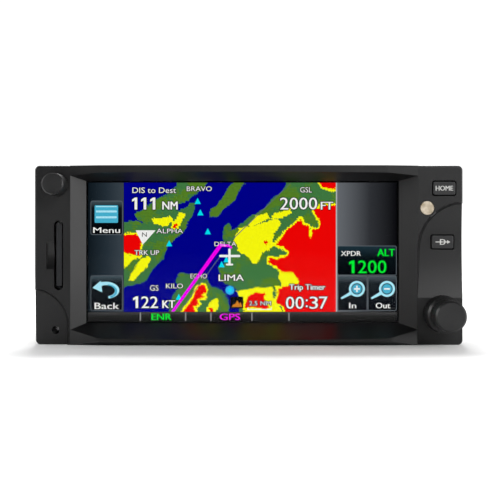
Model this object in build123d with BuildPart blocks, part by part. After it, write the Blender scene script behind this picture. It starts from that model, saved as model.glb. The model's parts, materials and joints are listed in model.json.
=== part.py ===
"""Panel-mounted aviation GPS navigator with a colour touch screen.

Millimetres.  X runs to the pilot's right, Y runs into the panel, Z is up.
The origin is the middle of the whole unit's footprint, on the surface that it stands on.
"ahead" is always a distance in front of the panel plane, the plane of the bezel's rear face;
what lies behind that plane, inside the instrument stack, has a negative "ahead".
"""

import os
from math import cos, radians, sin

from build123d import *

# ---- overall sizes --------------------------------------------------------------------------
bezel_width = 158.75
bezel_height = 66.5
bezel_corner = 1.8
column_ahead = 13.0  # front face of the two side columns
top_rail_ahead = 16.0
ledge_ahead = 19.0
case_depth = 254.0  # panel plane to the rear face of the case
case_side_gap = 0.55  # bezel stands out past the case on each side
case_floor_lift = 0.6  # bezel reaches lower than the case
case_roof_drop = 1.2

# ---- display ----------------------------------------------------------------------------------
screen_width = 115.9
screen_height = 52.1
screen_x = -2.35
screen_z = 34.45
window_margin = 0.5  # bezel window past the lit screen
window_corner = 0.9
glass_overlap = 2.6  # glass hidden behind the window's lip, each side
glass_thickness = 1.8
gasket_thickness = 0.4
window_lip_ahead = 9.0
bevel_left = 5.4  # width of each sloping wall, seen from the front
bevel_right = 6.7
bevel_top = 3.1
bevel_bottom = 5.7
screen_gap = 0.2  # glass to liquid crystal panel
panel_thickness = 2.8
backlight_thickness = 2.8
tray_wall = 0.8

# ---- bezel details -----------------------------------------------------------------------------
column_pocket = 8.2  # depth of the hollows behind the columns
bezel_side_wall = 1.8
ledge_ramp = 11.0
ledge_crown = 1.0
top_rail_crown = 0.7
right_scoop_x = 62.4
right_scoop_z = 35.5
right_scoop_radius = 17.7
right_scoop_depths = (1.7, 2.8, 0.4)  # at its top, its deepest line and its foot
left_scoop_x = -81.0
left_scoop_z = 6.8
left_scoop_radius = 14.4
left_scoop_depths = (1.6, 2.8)
scoop_lean = 0.5  # how far the scoops' side walls lean out, per mm of height
edge_round = 0.7

# ---- controls ---------------------------------------------------------------------------------
volume_x, volume_z = 8.3 - bezel_width / 2, 59.2
volume_radius = 4.2
volume_reach = 25.2
tuning_x, tuning_z = bezel_width / 2 - 7.6, 11.5
outer_radius = 7.0
outer_reach = 23.2
inner_radius = 5.8
inner_reach = 35.0
knob_push = 0.6
knob_gap = 0.2
shaft_radius_volume = 1.5
shaft_radius_inner = 1.8
shaft_radius_outer = 3.0
running_clearance = 0.05
bush_clearance = 0.1
bush_wall = 1.0
encoder_volume = 8.0
encoder_tuning = 11.0
key_width, key_height = 8.2, 5.0
key_gap = 0.4
key_push = 0.6
key_proud = 0.5
home_x, home_z = bezel_width / 2 - 6.9, 58.1
direct_x, direct_z = bezel_width / 2 - 7.2, 38.2
photocell_x, photocell_z = bezel_width / 2 - 13.15, 50.8
photocell_radius = 2.6
board_thickness = 1.6
board_ahead = 1.5  # rear face of the two control boards
control_screws = (
    (volume_x - 3.5, 50.8),
    (volume_x - 0.9, 14.2),
    (home_x + 2.7, 49.5),
    (direct_x - 6.2, 29.0),
)

# ---- data card --------------------------------------------------------------------------------
card_x, card_z = 8.8 - bezel_width / 2, 33.2
card_width, card_thickness, card_length = 24.0, 2.1, 32.0
card_recess = 2.0
card_gap = 0.3
card_push = 1.0
slot_margin_width, slot_margin_height = 1.3, 1.8
slot_width = card_thickness + slot_margin_width
slot_height = card_width + slot_margin_height
reader_wall = 1.1

# ---- rack lock ----------------------------------------------------------------------------------
lock_x, lock_z = 7.4 - bezel_width / 2, 5.4
lock_access_radius = 1.5
lock_screw_radius = 1.6
lock_head_radius = 2.6
lock_draw = 9.5
nut_radius = 2.6
dog_radius = 3.8
dog_reach = 9.0
dog_thickness = 5.0
dog_gap = 0.3

# ---- case -------------------------------------------------------------------------------------------
sheet = 1.2
end_plate_front = 5.0
end_plate_rear = 4.0
cover_flange = 7.0
fit_gap = 0.1
case_screw_radius = 1.22
case_screw_head = 2.2
case_screw_length = 3.6

# ---- rear connectors ----------------------------------------------------------------------------
rear_pin_reach = 14.0
guide_pin_radius = 2.4
guide_pin_inset = 7.7
guide_pin_z = 12.0
coax_radius = 4.8
gps_coax = (66.0, 50.0)
com_coax = (46.0, 50.0)
main_plug_x, main_plug_z, main_plug_width = 24.0, 12.5, 69.0
second_plug_x, second_plug_z, second_plug_width = 32.0, 30.5, 53.0
plug_height = 12.5
fan_x, fan_z = -54.0, 36.0
fan_size, fan_thickness = 30.0, 10.0
fan_bore = 13.8
fan_pitch = 12.0
fan_axle = 1.5

# ---- places worked out from the sizes above -------------------------------------------------------
rear_reach = case_depth + rear_pin_reach
panel_y = (inner_reach - rear_reach) / 2
case_half = bezel_width / 2 - case_side_gap - 0.62
case_low = case_floor_lift
case_high = bezel_height - case_roof_drop
inner_half = case_half - sheet
inner_low = case_low + sheet
inner_high = case_high - sheet
guide_pins_at = (
    (guide_pin_inset - case_half, guide_pin_z),
    (case_half - guide_pin_inset, guide_pin_z),
)
window_width = screen_width + 2 * window_margin
window_height = screen_height + 2 * window_margin
window_left = screen_x - window_width / 2
window_right = screen_x + window_width / 2
window_low = screen_z - window_height / 2
window_high = screen_z + window_height / 2
glass_width = window_width + 2 * glass_overlap
glass_height = window_height + 2 * glass_overlap
glass_front = window_lip_ahead - gasket_thickness
glass_rear = glass_front - glass_thickness
panel_front = glass_rear - screen_gap
panel_rear = panel_front - panel_thickness
backlight_rear = panel_rear - backlight_thickness
board_front = board_ahead + board_thickness

pieces = {}


def facing(ahead):
    """A plane that faces the pilot: its x is X, its y is Z, and extruding goes forwards."""
    return Plane(origin=(0, panel_y - ahead, 0), x_dir=(1, 0, 0), z_dir=(0, -1, 0))


def at_y(ahead):
    """The Y of a place that lies so far ahead of the panel plane."""
    return panel_y - ahead


# ================================ bezel ================================================================
def rail_tool(low, high, reach, crown):
    """A crowned rail across the middle of the bezel, ramped down to the columns at both ends."""
    left, right = window_left - bevel_left, window_right + bevel_right
    shoulder = reach - crown
    with BuildPart() as rail:
        with BuildSketch(Plane.XY.offset(low)) as plan:
            with BuildLine():
                ThreePointArc(
                    (left + ledge_ramp, at_y(shoulder)),
                    (screen_x, at_y(reach)),
                    (right - ledge_ramp, at_y(shoulder)),
                )
                Polyline(
                    (right - ledge_ramp, at_y(shoulder)),
                    (right, at_y(column_ahead)),
                    (right, at_y(0)),
                    (left, at_y(0)),
                    (left, at_y(column_ahead)),
                    (left + ledge_ramp, at_y(shoulder)),
                )
            make_face()
            shoulders = plan.vertices().sort_by(Axis.Y)[:2]
            fillet(shoulders, ledge_ramp * 0.6)
        extrude(amount=high - low)
    return rail.part


with BuildPart() as recess_tool:
    recess_front = ledge_ahead + 1.0
    grow_side = (recess_front - window_lip_ahead) / (column_ahead - window_lip_ahead)
    grow_top = (recess_front - window_lip_ahead) / (top_rail_ahead - window_lip_ahead)
    grow_low = (recess_front - window_lip_ahead) / (ledge_ahead - window_lip_ahead)
    far_left = window_left - bevel_left * grow_side
    far_right = window_right + bevel_right * grow_side
    far_high = window_high + bevel_top * grow_top
    far_low = window_low - bevel_bottom * grow_low
    with BuildSketch(facing(window_lip_ahead)):
        with Locations((screen_x, screen_z)):
            Rectangle(window_width, window_height)
    with BuildSketch(facing(recess_front)):
        with Locations(((far_left + far_right) / 2, (far_low + far_high) / 2)):
            Rectangle(far_right - far_left, far_high - far_low)
    loft(ruled=True)

scoop_levels = (column_pocket - 2.0, column_ahead + 4.0)
with BuildPart() as right_scoop_tool:
    scoop_top = right_scoop_z + right_scoop_radius
    scoop_foot = tuning_z + outer_radius - 1.0
    top_y, deep_y, foot_y = (at_y(column_ahead - d) for d in right_scoop_depths)
    with BuildSketch(Plane.YZ.offset(right_scoop_x)):
        with BuildLine():
            ThreePointArc((top_y, scoop_top), (deep_y, right_scoop_z), (foot_y, scoop_foot))
            Polyline(
                (foot_y, scoop_foot),
                (foot_y, -1.0),
                (at_y(2 * ledge_ahead), -1.0),
                (at_y(2 * ledge_ahead), scoop_top + 3.0),
                (top_y, scoop_top + 3.0),
                (top_y, scoop_top),
            )
        make_face()
    extrude(amount=bezel_width)
    scoop_centre = right_scoop_x + right_scoop_radius
    for ahead in scoop_levels:
        reach = right_scoop_radius + (ahead - column_ahead) * scoop_lean
        with BuildSketch(facing(ahead)):
            with BuildLine():
                CenterArc((scoop_centre, right_scoop_z), reach, 90, 90)
                Polyline(
                    (scoop_centre - reach, right_scoop_z),
                    (scoop_centre - reach, -1.0),
                    (scoop_centre + 3, -1.0),
                    (scoop_centre + 3, right_scoop_z + reach),
                    (scoop_centre, right_scoop_z + reach),
                )
            make_face()
    loft(ruled=True, mode=Mode.INTERSECT)

with BuildPart() as left_scoop_tool:
    left_top = left_scoop_z + left_scoop_radius
    shallow_y, deep_y = (at_y(column_ahead - d) for d in left_scoop_depths)
    with BuildSketch(Plane.YZ.offset(-bezel_width)):
        with BuildLine():
            Polyline(
                (shallow_y, left_top + 3.0),
                (shallow_y, left_top),
                (deep_y, -1.0),
                (at_y(2 * ledge_ahead), -1.0),
                (at_y(2 * ledge_ahead), left_top + 3.0),
                close=True,
            )
        make_face()
    extrude(amount=bezel_width)
    for ahead in scoop_levels:
        reach = left_scoop_radius + (ahead - column_ahead) * scoop_lean
        with BuildSketch(facing(ahead)):
            with BuildLine():
                CenterArc((left_scoop_x, left_scoop_z), reach, 0, 90)
                Polyline(
                    (left_scoop_x, left_scoop_z + reach),
                    (left_scoop_x - 5, left_scoop_z + reach),
                    (left_scoop_x - 5, -1.0),
                    (left_scoop_x + reach, -1.0),
                    (left_scoop_x + reach, left_scoop_z),
                )
            make_face()
    loft(ruled=True, mode=Mode.INTERSECT)

with BuildPart() as ledge_underside_tool:
    with BuildSketch(Plane.YZ.offset(-bezel_width)):
        with BuildLine():
            Polyline(
                (at_y(column_ahead), 0.0),
                (at_y(ledge_ahead + 1.0), 2.4),
                (at_y(ledge_ahead + 1.0), -2.0),
                (at_y(column_ahead), -2.0),
                close=True,
            )
        make_face()
    extrude(amount=2 * bezel_width)

rib_left = window_left - glass_overlap - 0.3
rib_right = window_right + glass_overlap + 0.3
left_pocket_right = volume_x + encoder_volume / 2 + 0.2
right_pocket_left = photocell_x - photocell_radius - 0.5
pocket_outer = bezel_width / 2 - bezel_side_wall
left_pocket_low = lock_z + 3.8
pocket_high = bezel_height - 2.5
right_pocket_low = 3.0
bezel_screw_hole = 0.8
bezel_screws_at = (
    ((left_pocket_right + rib_left) / 2, 14.0),
    ((left_pocket_right + rib_left) / 2, 55.0),
    ((right_pocket_left + rib_right) / 2, 14.0),
    ((right_pocket_left + rib_right) / 2, 55.0),
)
bezel_screw_bite = 5.0
volume_bush = shaft_radius_volume + running_clearance + bush_wall
tuning_bush = shaft_radius_outer + bush_clearance + bush_wall
finger_notch_radius = 9.0
finger_notch_depth = 1.6
finger_notch_width = 2.8

with BuildPart() as bezel_frame:
    with BuildSketch(facing(0)):
        with Locations((0, bezel_height / 2)):
            RectangleRounded(bezel_width, bezel_height, bezel_corner)
    extrude(amount=column_ahead)
    fillet(bezel_frame.faces().sort_by(Axis.Y)[0].edges(), edge_round)
    add(rail_tool(window_high - 0.5, bezel_height, top_rail_ahead, top_rail_crown))
    add(rail_tool(0, window_low + 0.5, ledge_ahead, ledge_crown))
    add(recess_tool.part, mode=Mode.SUBTRACT)
    add(right_scoop_tool.part, mode=Mode.SUBTRACT)
    add(left_scoop_tool.part, mode=Mode.SUBTRACT)
    add(ledge_underside_tool.part, mode=Mode.SUBTRACT)
    # the window, and the seat for the glass behind its lip
    with BuildSketch(facing(0)):
        with Locations((screen_x, screen_z)):
            RectangleRounded(window_width, window_height, window_corner)
    extrude(amount=2 * ledge_ahead, mode=Mode.SUBTRACT)
    with BuildSketch(facing(0)):
        with Locations((screen_x, screen_z)):
            Rectangle(glass_width + 0.6, glass_height + 0.6)
    extrude(amount=window_lip_ahead, mode=Mode.SUBTRACT)
    # hollows behind the columns
    with BuildSketch(facing(0)):
        with Locations(
            ((left_pocket_right - pocket_outer) / 2, (left_pocket_low + pocket_high) / 2)
        ):
            Rectangle(left_pocket_right + pocket_outer, pocket_high - left_pocket_low)
        with Locations(
            ((right_pocket_left + pocket_outer) / 2, (right_pocket_low + pocket_high) / 2)
        ):
            Rectangle(pocket_outer - right_pocket_left, pocket_high - right_pocket_low)
    extrude(amount=column_pocket, mode=Mode.SUBTRACT)
    # bosses that the control boards are screwed to
    with BuildSketch(facing(board_front)):
        with Locations(*control_screws):
            Circle(1.7)
    extrude(amount=column_pocket - board_front)
    with BuildSketch(facing(board_front)):
        with Locations(*control_screws):
            Circle(bezel_screw_hole)
    extrude(amount=column_pocket - board_front - 0.6, mode=Mode.SUBTRACT)
    # blind holes for the screws that hold the bezel to the case
    with BuildSketch(facing(0)):
        with Locations(*bezel_screws_at):
            Circle(bezel_screw_hole)
    extrude(amount=bezel_screw_bite, mode=Mode.SUBTRACT)
    # openings for the controls
    with BuildSketch(facing(column_pocket - 1)):
        with Locations((volume_x, volume_z)):
            Circle(volume_bush + bush_clearance)
        with Locations((tuning_x, tuning_z)):
            Circle(tuning_bush + bush_clearance)
        with Locations((photocell_x, photocell_z)):
            Circle(photocell_radius + 0.12)
        with Locations((home_x, home_z), (direct_x, direct_z)):
            RectangleRounded(key_width + 2 * key_gap, key_height + 2 * key_gap, 0.9)
        with Locations((card_x, card_z)):
            SlotOverall(slot_height, slot_width, rotation=90)
    extrude(amount=ledge_ahead, mode=Mode.SUBTRACT)
    with BuildSketch(facing(0)):
        with Locations((lock_x, lock_z)):
            Circle(lock_access_radius)
    extrude(amount=ledge_ahead, mode=Mode.SUBTRACT)
    # finger notch beside the card slot, a shallow slice of a fat disc
    with BuildSketch(Plane.YZ.offset(card_x - slot_width / 2 - finger_notch_width)):
        with Locations((at_y(column_ahead - finger_notch_depth + finger_notch_radius), card_z)):
            Circle(finger_notch_radius)
    extrude(amount=finger_notch_width + 0.5, mode=Mode.SUBTRACT)
pieces["bezel_frame"] = bezel_frame

# ================================ display ==============================================================
with BuildPart() as display_gasket:
    with BuildSketch(facing(glass_front)):
        with Locations((screen_x, screen_z)):
            Rectangle(glass_width, glass_height)
            RectangleRounded(
                window_width + 0.4, window_height + 0.4, window_corner, mode=Mode.SUBTRACT
            )
    extrude(amount=gasket_thickness)
pieces["display_gasket"] = display_gasket

with BuildPart() as display_glass:
    with BuildSketch(facing(glass_rear)):
        with Locations((screen_x, screen_z)):
            RectangleRounded(glass_width, glass_height, 1.0)
    extrude(amount=glass_thickness)
pieces["display_glass"] = display_glass

panel_width = glass_width - 2 * tray_wall - 0.8
panel_height = glass_height - 2 * tray_wall - 0.8
with BuildPart() as lcd_panel:
    with BuildSketch(facing(panel_rear)):
        with Locations((screen_x, screen_z)):
            Rectangle(panel_width, panel_height)
    extrude(amount=panel_thickness)
pieces["lcd_panel"] = lcd_panel

with BuildPart() as lcd_backlight:
    with BuildSketch(facing(backlight_rear + fit_gap)):
        with Locations((screen_x, screen_z)):
            Rectangle(panel_width, panel_height)
    extrude(amount=backlight_thickness - 2 * fit_gap)
    light_bars = lcd_backlight.edges().filter_by(Axis.Y)
    chamfer(light_bars, 1.5)
pieces["lcd_backlight"] = lcd_backlight

with BuildPart() as lcd_tray:
    with BuildSketch(facing(backlight_rear - tray_wall)):
        with Locations((screen_x, screen_z)):
            Rectangle(glass_width, glass_height)
    extrude(amount=panel_front - fit_gap - backlight_rear + tray_wall)
    with BuildSketch(facing(backlight_rear)):
        with Locations((screen_x, screen_z)):
            Rectangle(panel_width + 2 * fit_gap, panel_height + 2 * fit_gap)
    extrude(amount=panel_thickness + backlight_thickness, mode=Mode.SUBTRACT)
    with BuildSketch(facing(backlight_rear - tray_wall)):
        with Locations((screen_x, screen_z)):
            with GridLocations(panel_width * 0.3, panel_height * 0.45, 3, 2):
                RectangleRounded(18, 12, 2)
    extrude(amount=tray_wall, mode=Mode.SUBTRACT)
pieces["lcd_tray"] = lcd_tray


# ================================ knobs and encoders ==================================================
def turned(x, z, outline):
    """Revolve an outline of (radius, ahead) pairs about a control's axis, as part of a build."""
    with BuildSketch(Plane.XY.offset(z)) as profile:
        with BuildLine():
            Polyline(*[(x + radius, at_y(ahead)) for radius, ahead in outline], close=True)
        make_face()
    revolve(profile.sketch, axis=Axis((x, 0, z), (0, 1, 0)))


def knob_outline(radius, rear, front, bore, bore_front, crown):
    """Outline of a slightly tapering knob with a chamfered front and a bore for its shaft."""
    lip = radius - 0.2
    return (
        (bore, rear),
        (radius, rear),
        (lip, front - crown),
        (lip - crown, front),
        (0, front),
        (0, bore_front),
        (bore, bore_front),
    )


def knurl(part_radius, low, high, x, z, count, groove):
    """Grooves round a knob's rim, cut into the part that is being built."""
    with BuildSketch(facing(low)) as grooves:
        with Locations((x, z)):
            with PolarLocations(part_radius + groove * 0.35, count):
                Circle(groove)
    extrude(grooves.sketch, amount=high - low, mode=Mode.SUBTRACT)


encoder_floor = 0.4
encoder_front = column_pocket - 0.2
shaft_end = board_front + encoder_floor + knob_push + 0.1
rotor_thickness = 1.2
rotor_low = board_front + 1.9
knob_bore_floor = 3.0

with BuildPart() as volume_encoder:
    with BuildSketch(facing(board_front)):
        with Locations((volume_x, volume_z)):
            RectangleRounded(encoder_volume, encoder_volume, 0.6)
    extrude(amount=encoder_front - board_front)
    with BuildSketch(facing(encoder_front)):
        with Locations((volume_x, volume_z)):
            Circle(volume_bush)
    extrude(amount=column_ahead - encoder_front)
    with BuildSketch(facing(board_front + encoder_floor)):
        with Locations((volume_x, volume_z)):
            Circle(shaft_radius_volume + running_clearance)
    extrude(amount=column_ahead, mode=Mode.SUBTRACT)
    with BuildSketch(facing(rotor_low - 0.1)):
        with Locations((volume_x, volume_z)):
            Circle(encoder_volume * 0.4)
    extrude(amount=rotor_thickness + 0.2, mode=Mode.SUBTRACT)
pieces["volume_encoder"] = volume_encoder

with BuildPart() as volume_rotor:
    with BuildSketch(facing(rotor_low)):
        with Locations((volume_x, volume_z)):
            Circle(encoder_volume * 0.4 - 0.1)
            Circle(shaft_radius_volume + running_clearance, mode=Mode.SUBTRACT)
    extrude(amount=rotor_thickness)
pieces["volume_rotor"] = volume_rotor

with BuildPart() as volume_shaft:
    with BuildSketch(facing(shaft_end)):
        with Locations((volume_x, volume_z)):
            Circle(shaft_radius_volume)
    extrude(amount=volume_reach - knob_bore_floor - shaft_end)
pieces["volume_shaft"] = volume_shaft

volume_rear = column_ahead + knob_push + knob_gap
with BuildPart() as volume_knob:
    volume_bore = shaft_radius_volume + 0.02
    volume_front = volume_reach - knob_bore_floor
    turned(
        volume_x,
        volume_z,
        knob_outline(
            volume_radius, volume_rear, volume_reach, volume_bore, volume_front, 0.45
        ),
    )
    knurl(volume_radius, volume_rear + 1.6, volume_reach - 1.2, volume_x, volume_z, 30, 0.26)
pieces["volume_knob"] = volume_knob

with BuildPart() as tuning_encoder:
    with BuildSketch(facing(board_front)):
        with Locations((tuning_x, tuning_z)):
            RectangleRounded(encoder_tuning, encoder_tuning, 0.6)
    extrude(amount=encoder_front - board_front)
    with BuildSketch(facing(encoder_front)):
        with Locations((tuning_x, tuning_z)):
            Circle(tuning_bush)
    extrude(amount=column_ahead - right_scoop_depths[2] + 0.1 - encoder_front)
    with BuildSketch(facing(board_front + encoder_floor)):
        with Locations((tuning_x, tuning_z)):
            Circle(shaft_radius_inner + bush_clearance)
    extrude(amount=column_ahead, mode=Mode.SUBTRACT)
    with BuildSketch(facing(rotor_low - 0.1)):
        with Locations((tuning_x, tuning_z)):
            Circle(encoder_tuning * 0.4)
    extrude(amount=rotor_thickness + 0.2, mode=Mode.SUBTRACT)
    with BuildSketch(facing(rotor_low + rotor_thickness + 0.5)):
        with Locations((tuning_x, tuning_z)):
            Circle(shaft_radius_outer + running_clearance)
    extrude(amount=column_ahead, mode=Mode.SUBTRACT)
pieces["tuning_encoder"] = tuning_encoder

with BuildPart() as inner_rotor:
    with BuildSketch(facing(rotor_low)):
        with Locations((tuning_x, tuning_z)):
            Circle(encoder_tuning * 0.4 - 0.1)
            Circle(shaft_radius_inner + running_clearance, mode=Mode.SUBTRACT)
    extrude(amount=rotor_thickness)
pieces["inner_rotor"] = inner_rotor

outer_shaft_rear = rotor_low + rotor_thickness + 0.7
with BuildPart() as outer_shaft:
    with BuildSketch(facing(outer_shaft_rear)):
        with Locations((tuning_x, tuning_z)):
            Circle(shaft_radius_outer)
            Circle(shaft_radius_inner + bush_clearance, mode=Mode.SUBTRACT)
    extrude(amount=outer_reach - 1.0 - outer_shaft_rear)
pieces["outer_shaft"] = outer_shaft

outer_rear = column_ahead + 0.3
with BuildPart() as outer_knob:
    outer_bore = shaft_radius_outer + 0.02
    turned(
        tuning_x,
        tuning_z,
        (
            (outer_bore, outer_rear),
            (outer_radius, outer_rear),
            (outer_radius - 0.25, outer_reach - 0.8),
            (outer_radius - 1.05, outer_reach),
            (outer_bore, outer_reach),
        ),
    )
    knurl(outer_radius, outer_rear + 1.4, outer_reach - 1.6, tuning_x, tuning_z, 40, 0.34)
pieces["outer_knob"] = outer_knob

with BuildPart() as inner_shaft:
    with BuildSketch(facing(shaft_end)):
        with Locations((tuning_x, tuning_z)):
            Circle(shaft_radius_inner)
    extrude(amount=inner_reach - knob_bore_floor - shaft_end)
pieces["inner_shaft"] = inner_shaft

inner_rear = outer_reach + knob_push + knob_gap
with BuildPart() as inner_knob:
    inner_bore = shaft_radius_inner + 0.02
    inner_front = inner_reach - knob_bore_floor
    turned(
        tuning_x,
        tuning_z,
        knob_outline(inner_radius, inner_rear, inner_reach, inner_bore, inner_front, 0.65),
    )
    knurl(inner_radius, inner_rear + 1.0, inner_reach - 1.5, tuning_x, tuning_z, 36, 0.3)
pieces["inner_knob"] = inner_knob


# ================================ keys and light sensor ===============================================
def scoop_floor(z):
    """How far ahead the right column's surface lies at a height, by the scoop's own arc."""
    low, deep, foot = right_scoop_depths[0], right_scoop_depths[1], right_scoop_depths[2]
    if z > right_scoop_z + right_scoop_radius:
        return column_ahead
    if z > right_scoop_z:
        share = (z - right_scoop_z) / right_scoop_radius
        return column_ahead - deep + (deep - low) * share**2
    share = (right_scoop_z - z) / (right_scoop_z - scoop_foot)
    return column_ahead - deep + (deep - foot) * min(share, 1.0) ** 2


key_flange = 0.7
key_flange_ahead = column_pocket - 0.2 - key_flange
key_stem_end = 6.95
switch_top = key_stem_end - key_push - 0.05


def key_cap(x, z, reach):
    """A moulded key: cap, retaining flange and the stem that presses its switch."""
    with BuildPart() as key:
        with BuildSketch(facing(key_flange_ahead)):
            with Locations((x, z)):
                RectangleRounded(key_width, key_height, 0.7)
        extrude(amount=reach - key_flange_ahead)
        fillet(key.faces().sort_by(Axis.Y)[0].edges(), 0.35)
        with BuildSketch(facing(key_flange_ahead)):
            with Locations((x, z)):
                RectangleRounded(key_width + 1.8, key_height + 1.8, 0.9)
        extrude(amount=key_flange)
        with BuildSketch(facing(key_stem_end)):
            with Locations((x, z)):
                Circle(1.2)
        extrude(amount=key_flange_ahead - key_stem_end)
    return key


home_key = key_cap(home_x, home_z, column_ahead + key_proud)
pieces["home_key"] = home_key
direct_key = key_cap(direct_x, direct_z, scoop_floor(direct_z) + key_proud)
pieces["direct_key"] = direct_key

with BuildPart() as key_switches:
    with BuildSketch(facing(board_front)):
        with Locations((home_x, home_z), (direct_x, direct_z)):
            RectangleRounded(6.0, 4.2, 0.5)
    extrude(amount=switch_top - board_front - 0.7)
    with BuildSketch(facing(switch_top - 0.7)):
        with Locations((home_x, home_z), (direct_x, direct_z)):
            Circle(1.4)
    extrude(amount=0.7)
pieces["key_switches"] = key_switches

with BuildPart() as photocell_lens:
    with BuildSketch(facing(column_pocket - 0.9)):
        with Locations((photocell_x, photocell_z)):
            Circle(photocell_radius)
    extrude(amount=column_ahead - column_pocket + 0.7)
    fillet(photocell_lens.faces().sort_by(Axis.Y)[0].edges(), 0.3)
    with BuildSketch(facing(column_pocket - 0.9)):
        with Locations((photocell_x, photocell_z)):
            Circle(photocell_radius + 0.35)
    extrude(amount=0.8)
pieces["photocell_lens"] = photocell_lens

with BuildPart() as light_sensor:
    with BuildSketch(facing(board_front)):
        with Locations((photocell_x, photocell_z)):
            RectangleRounded(3.2, 2.6, 0.3)
    extrude(amount=1.3)
pieces["light_sensor"] = light_sensor

# ================================ control boards =======================================================
left_board_right = left_pocket_right - 0.4
right_board_left = right_pocket_left + 0.4
board_outer = pocket_outer - 0.5
with BuildPart() as left_control_board:
    with BuildSketch(facing(board_ahead)):
        with Locations(
            ((left_board_right - board_outer) / 2, (left_pocket_low + pocket_high) / 2)
        ):
            Rectangle(left_board_right + board_outer, pocket_high - left_pocket_low - 1.0)
        with Locations((card_x, card_z)):
            Rectangle(
                card_thickness + 2 * reader_wall + 1.2,
                card_width + 2 * reader_wall + 1.4,
                mode=Mode.SUBTRACT,
            )
        with Locations(*control_screws[:2]):
            Circle(1.1, mode=Mode.SUBTRACT)
    extrude(amount=board_thickness)
pieces["left_control_board"] = left_control_board

with BuildPart() as right_control_board:
    with BuildSketch(facing(board_ahead)):
        with Locations(
            ((right_board_left + board_outer) / 2, (right_pocket_low + pocket_high) / 2)
        ):
            Rectangle(board_outer - right_board_left, pocket_high - right_pocket_low - 1.0)
        with Locations(*control_screws[2:]):
            Circle(1.1, mode=Mode.SUBTRACT)
    extrude(amount=board_thickness)
pieces["right_control_board"] = right_control_board

with BuildPart() as control_board_screws:
    with BuildSketch(facing(board_ahead)):
        with Locations(*control_screws):
            Circle(bezel_screw_hole - 0.02)
    extrude(amount=board_thickness + 4.0)
    with BuildSketch(facing(board_ahead)):
        with Locations(*control_screws):
            Circle(1.5)
    extrude(amount=-1.0)
pieces["control_board_screws"] = control_board_screws

# ================================ data card and its reader =============================================
card_front = column_ahead - card_recess
card_rear = card_front - card_length
card_notch = 3.5
with BuildPart() as data_card:
    with BuildSketch(Plane.YZ.offset(card_x - card_thickness / 2)) as card_outline:
        with BuildLine():
            Polyline(
                (at_y(card_front), card_z - card_width / 2),
                (at_y(card_rear), card_z - card_width / 2),
                (at_y(card_rear), card_z + card_width / 2 - card_notch),
                (at_y(card_rear + card_notch), card_z + card_width / 2),
                (at_y(card_front), card_z + card_width / 2),
                close=True,
            )
        make_face()
        fillet(card_outline.vertices().sort_by(Axis.Y)[:2], 1.0)
    extrude(amount=card_thickness)
pieces["data_card"] = data_card

reader_front = board_ahead + board_thickness - 0.4
reader_rear = card_rear - card_push - 0.4 - reader_wall
reader_width = card_thickness + 2 * card_gap + 2 * reader_wall
reader_height = card_width + 2 * card_gap + 2 * reader_wall
with BuildPart() as card_reader:
    with BuildSketch(facing(reader_rear)):
        with Locations((card_x, card_z)):
            Rectangle(reader_width, reader_height)
    extrude(amount=reader_front - reader_rear)
    with BuildSketch(facing(reader_rear + reader_wall)):
        with Locations((card_x, card_z)):
            Rectangle(card_thickness + 2 * card_gap, card_width + 2 * card_gap)
    extrude(amount=reader_front - reader_rear, mode=Mode.SUBTRACT)
pieces["card_reader"] = card_reader

# ================================ case =================================================================
case_screw_end_gap = 34.0
case_screw_pitch = (case_depth - 2 * case_screw_end_gap) / 3
case_screw_rows = [-case_screw_end_gap - case_screw_pitch * row for row in range(4)]
front_plate_screw_heights = (18.0, 48.0)
screw_hole_depth = case_screw_length + 0.4
lock_slot_front = -14.0
lock_slot_length = lock_draw + dog_thickness + 9.0
lock_slot_left = lock_x - dog_radius - 0.6
lock_slot_right = lock_x + dog_reach + 1.0
vent_width, vent_length, vent_pitch = 2.2, 14.0, 6.5
side_screws = [
    (ahead, z)
    for ahead, z in [(a, inner_high - cover_flange / 2) for a in case_screw_rows]
    + [(-end_plate_front / 2, z) for z in front_plate_screw_heights]
    + [(-case_depth + end_plate_rear / 2, z) for z in front_plate_screw_heights]
]


def side_screw_holes(radius, start_x, length):
    """Cut a hole for each case screw, along X from a place, into the part being built."""
    with BuildSketch(Plane.YZ.offset(start_x)) as circles:
        for ahead, z in side_screws:
            with Locations((at_y(ahead), z)):
                Circle(radius)
    extrude(circles.sketch, amount=length, mode=Mode.SUBTRACT)


def turned_screw(side, head, shank, length):
    """A countersunk screw, head outwards in the left or right wall, at the panel plane."""
    with BuildSketch(Plane.XZ.offset(-at_y(0))) as half_screw:
        with BuildLine():
            Polyline(
                (side * case_half, 0),
                (side * case_half, head),
                (side * (case_half - head + shank), shank),
                (side * (case_half - length), shank),
                (side * (case_half - length), 0),
                close=True,
            )
        make_face()
    return revolve(
        half_screw.sketch, axis=Axis((0, at_y(0), 0), (1, 0, 0)), mode=Mode.PRIVATE
    )


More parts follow.
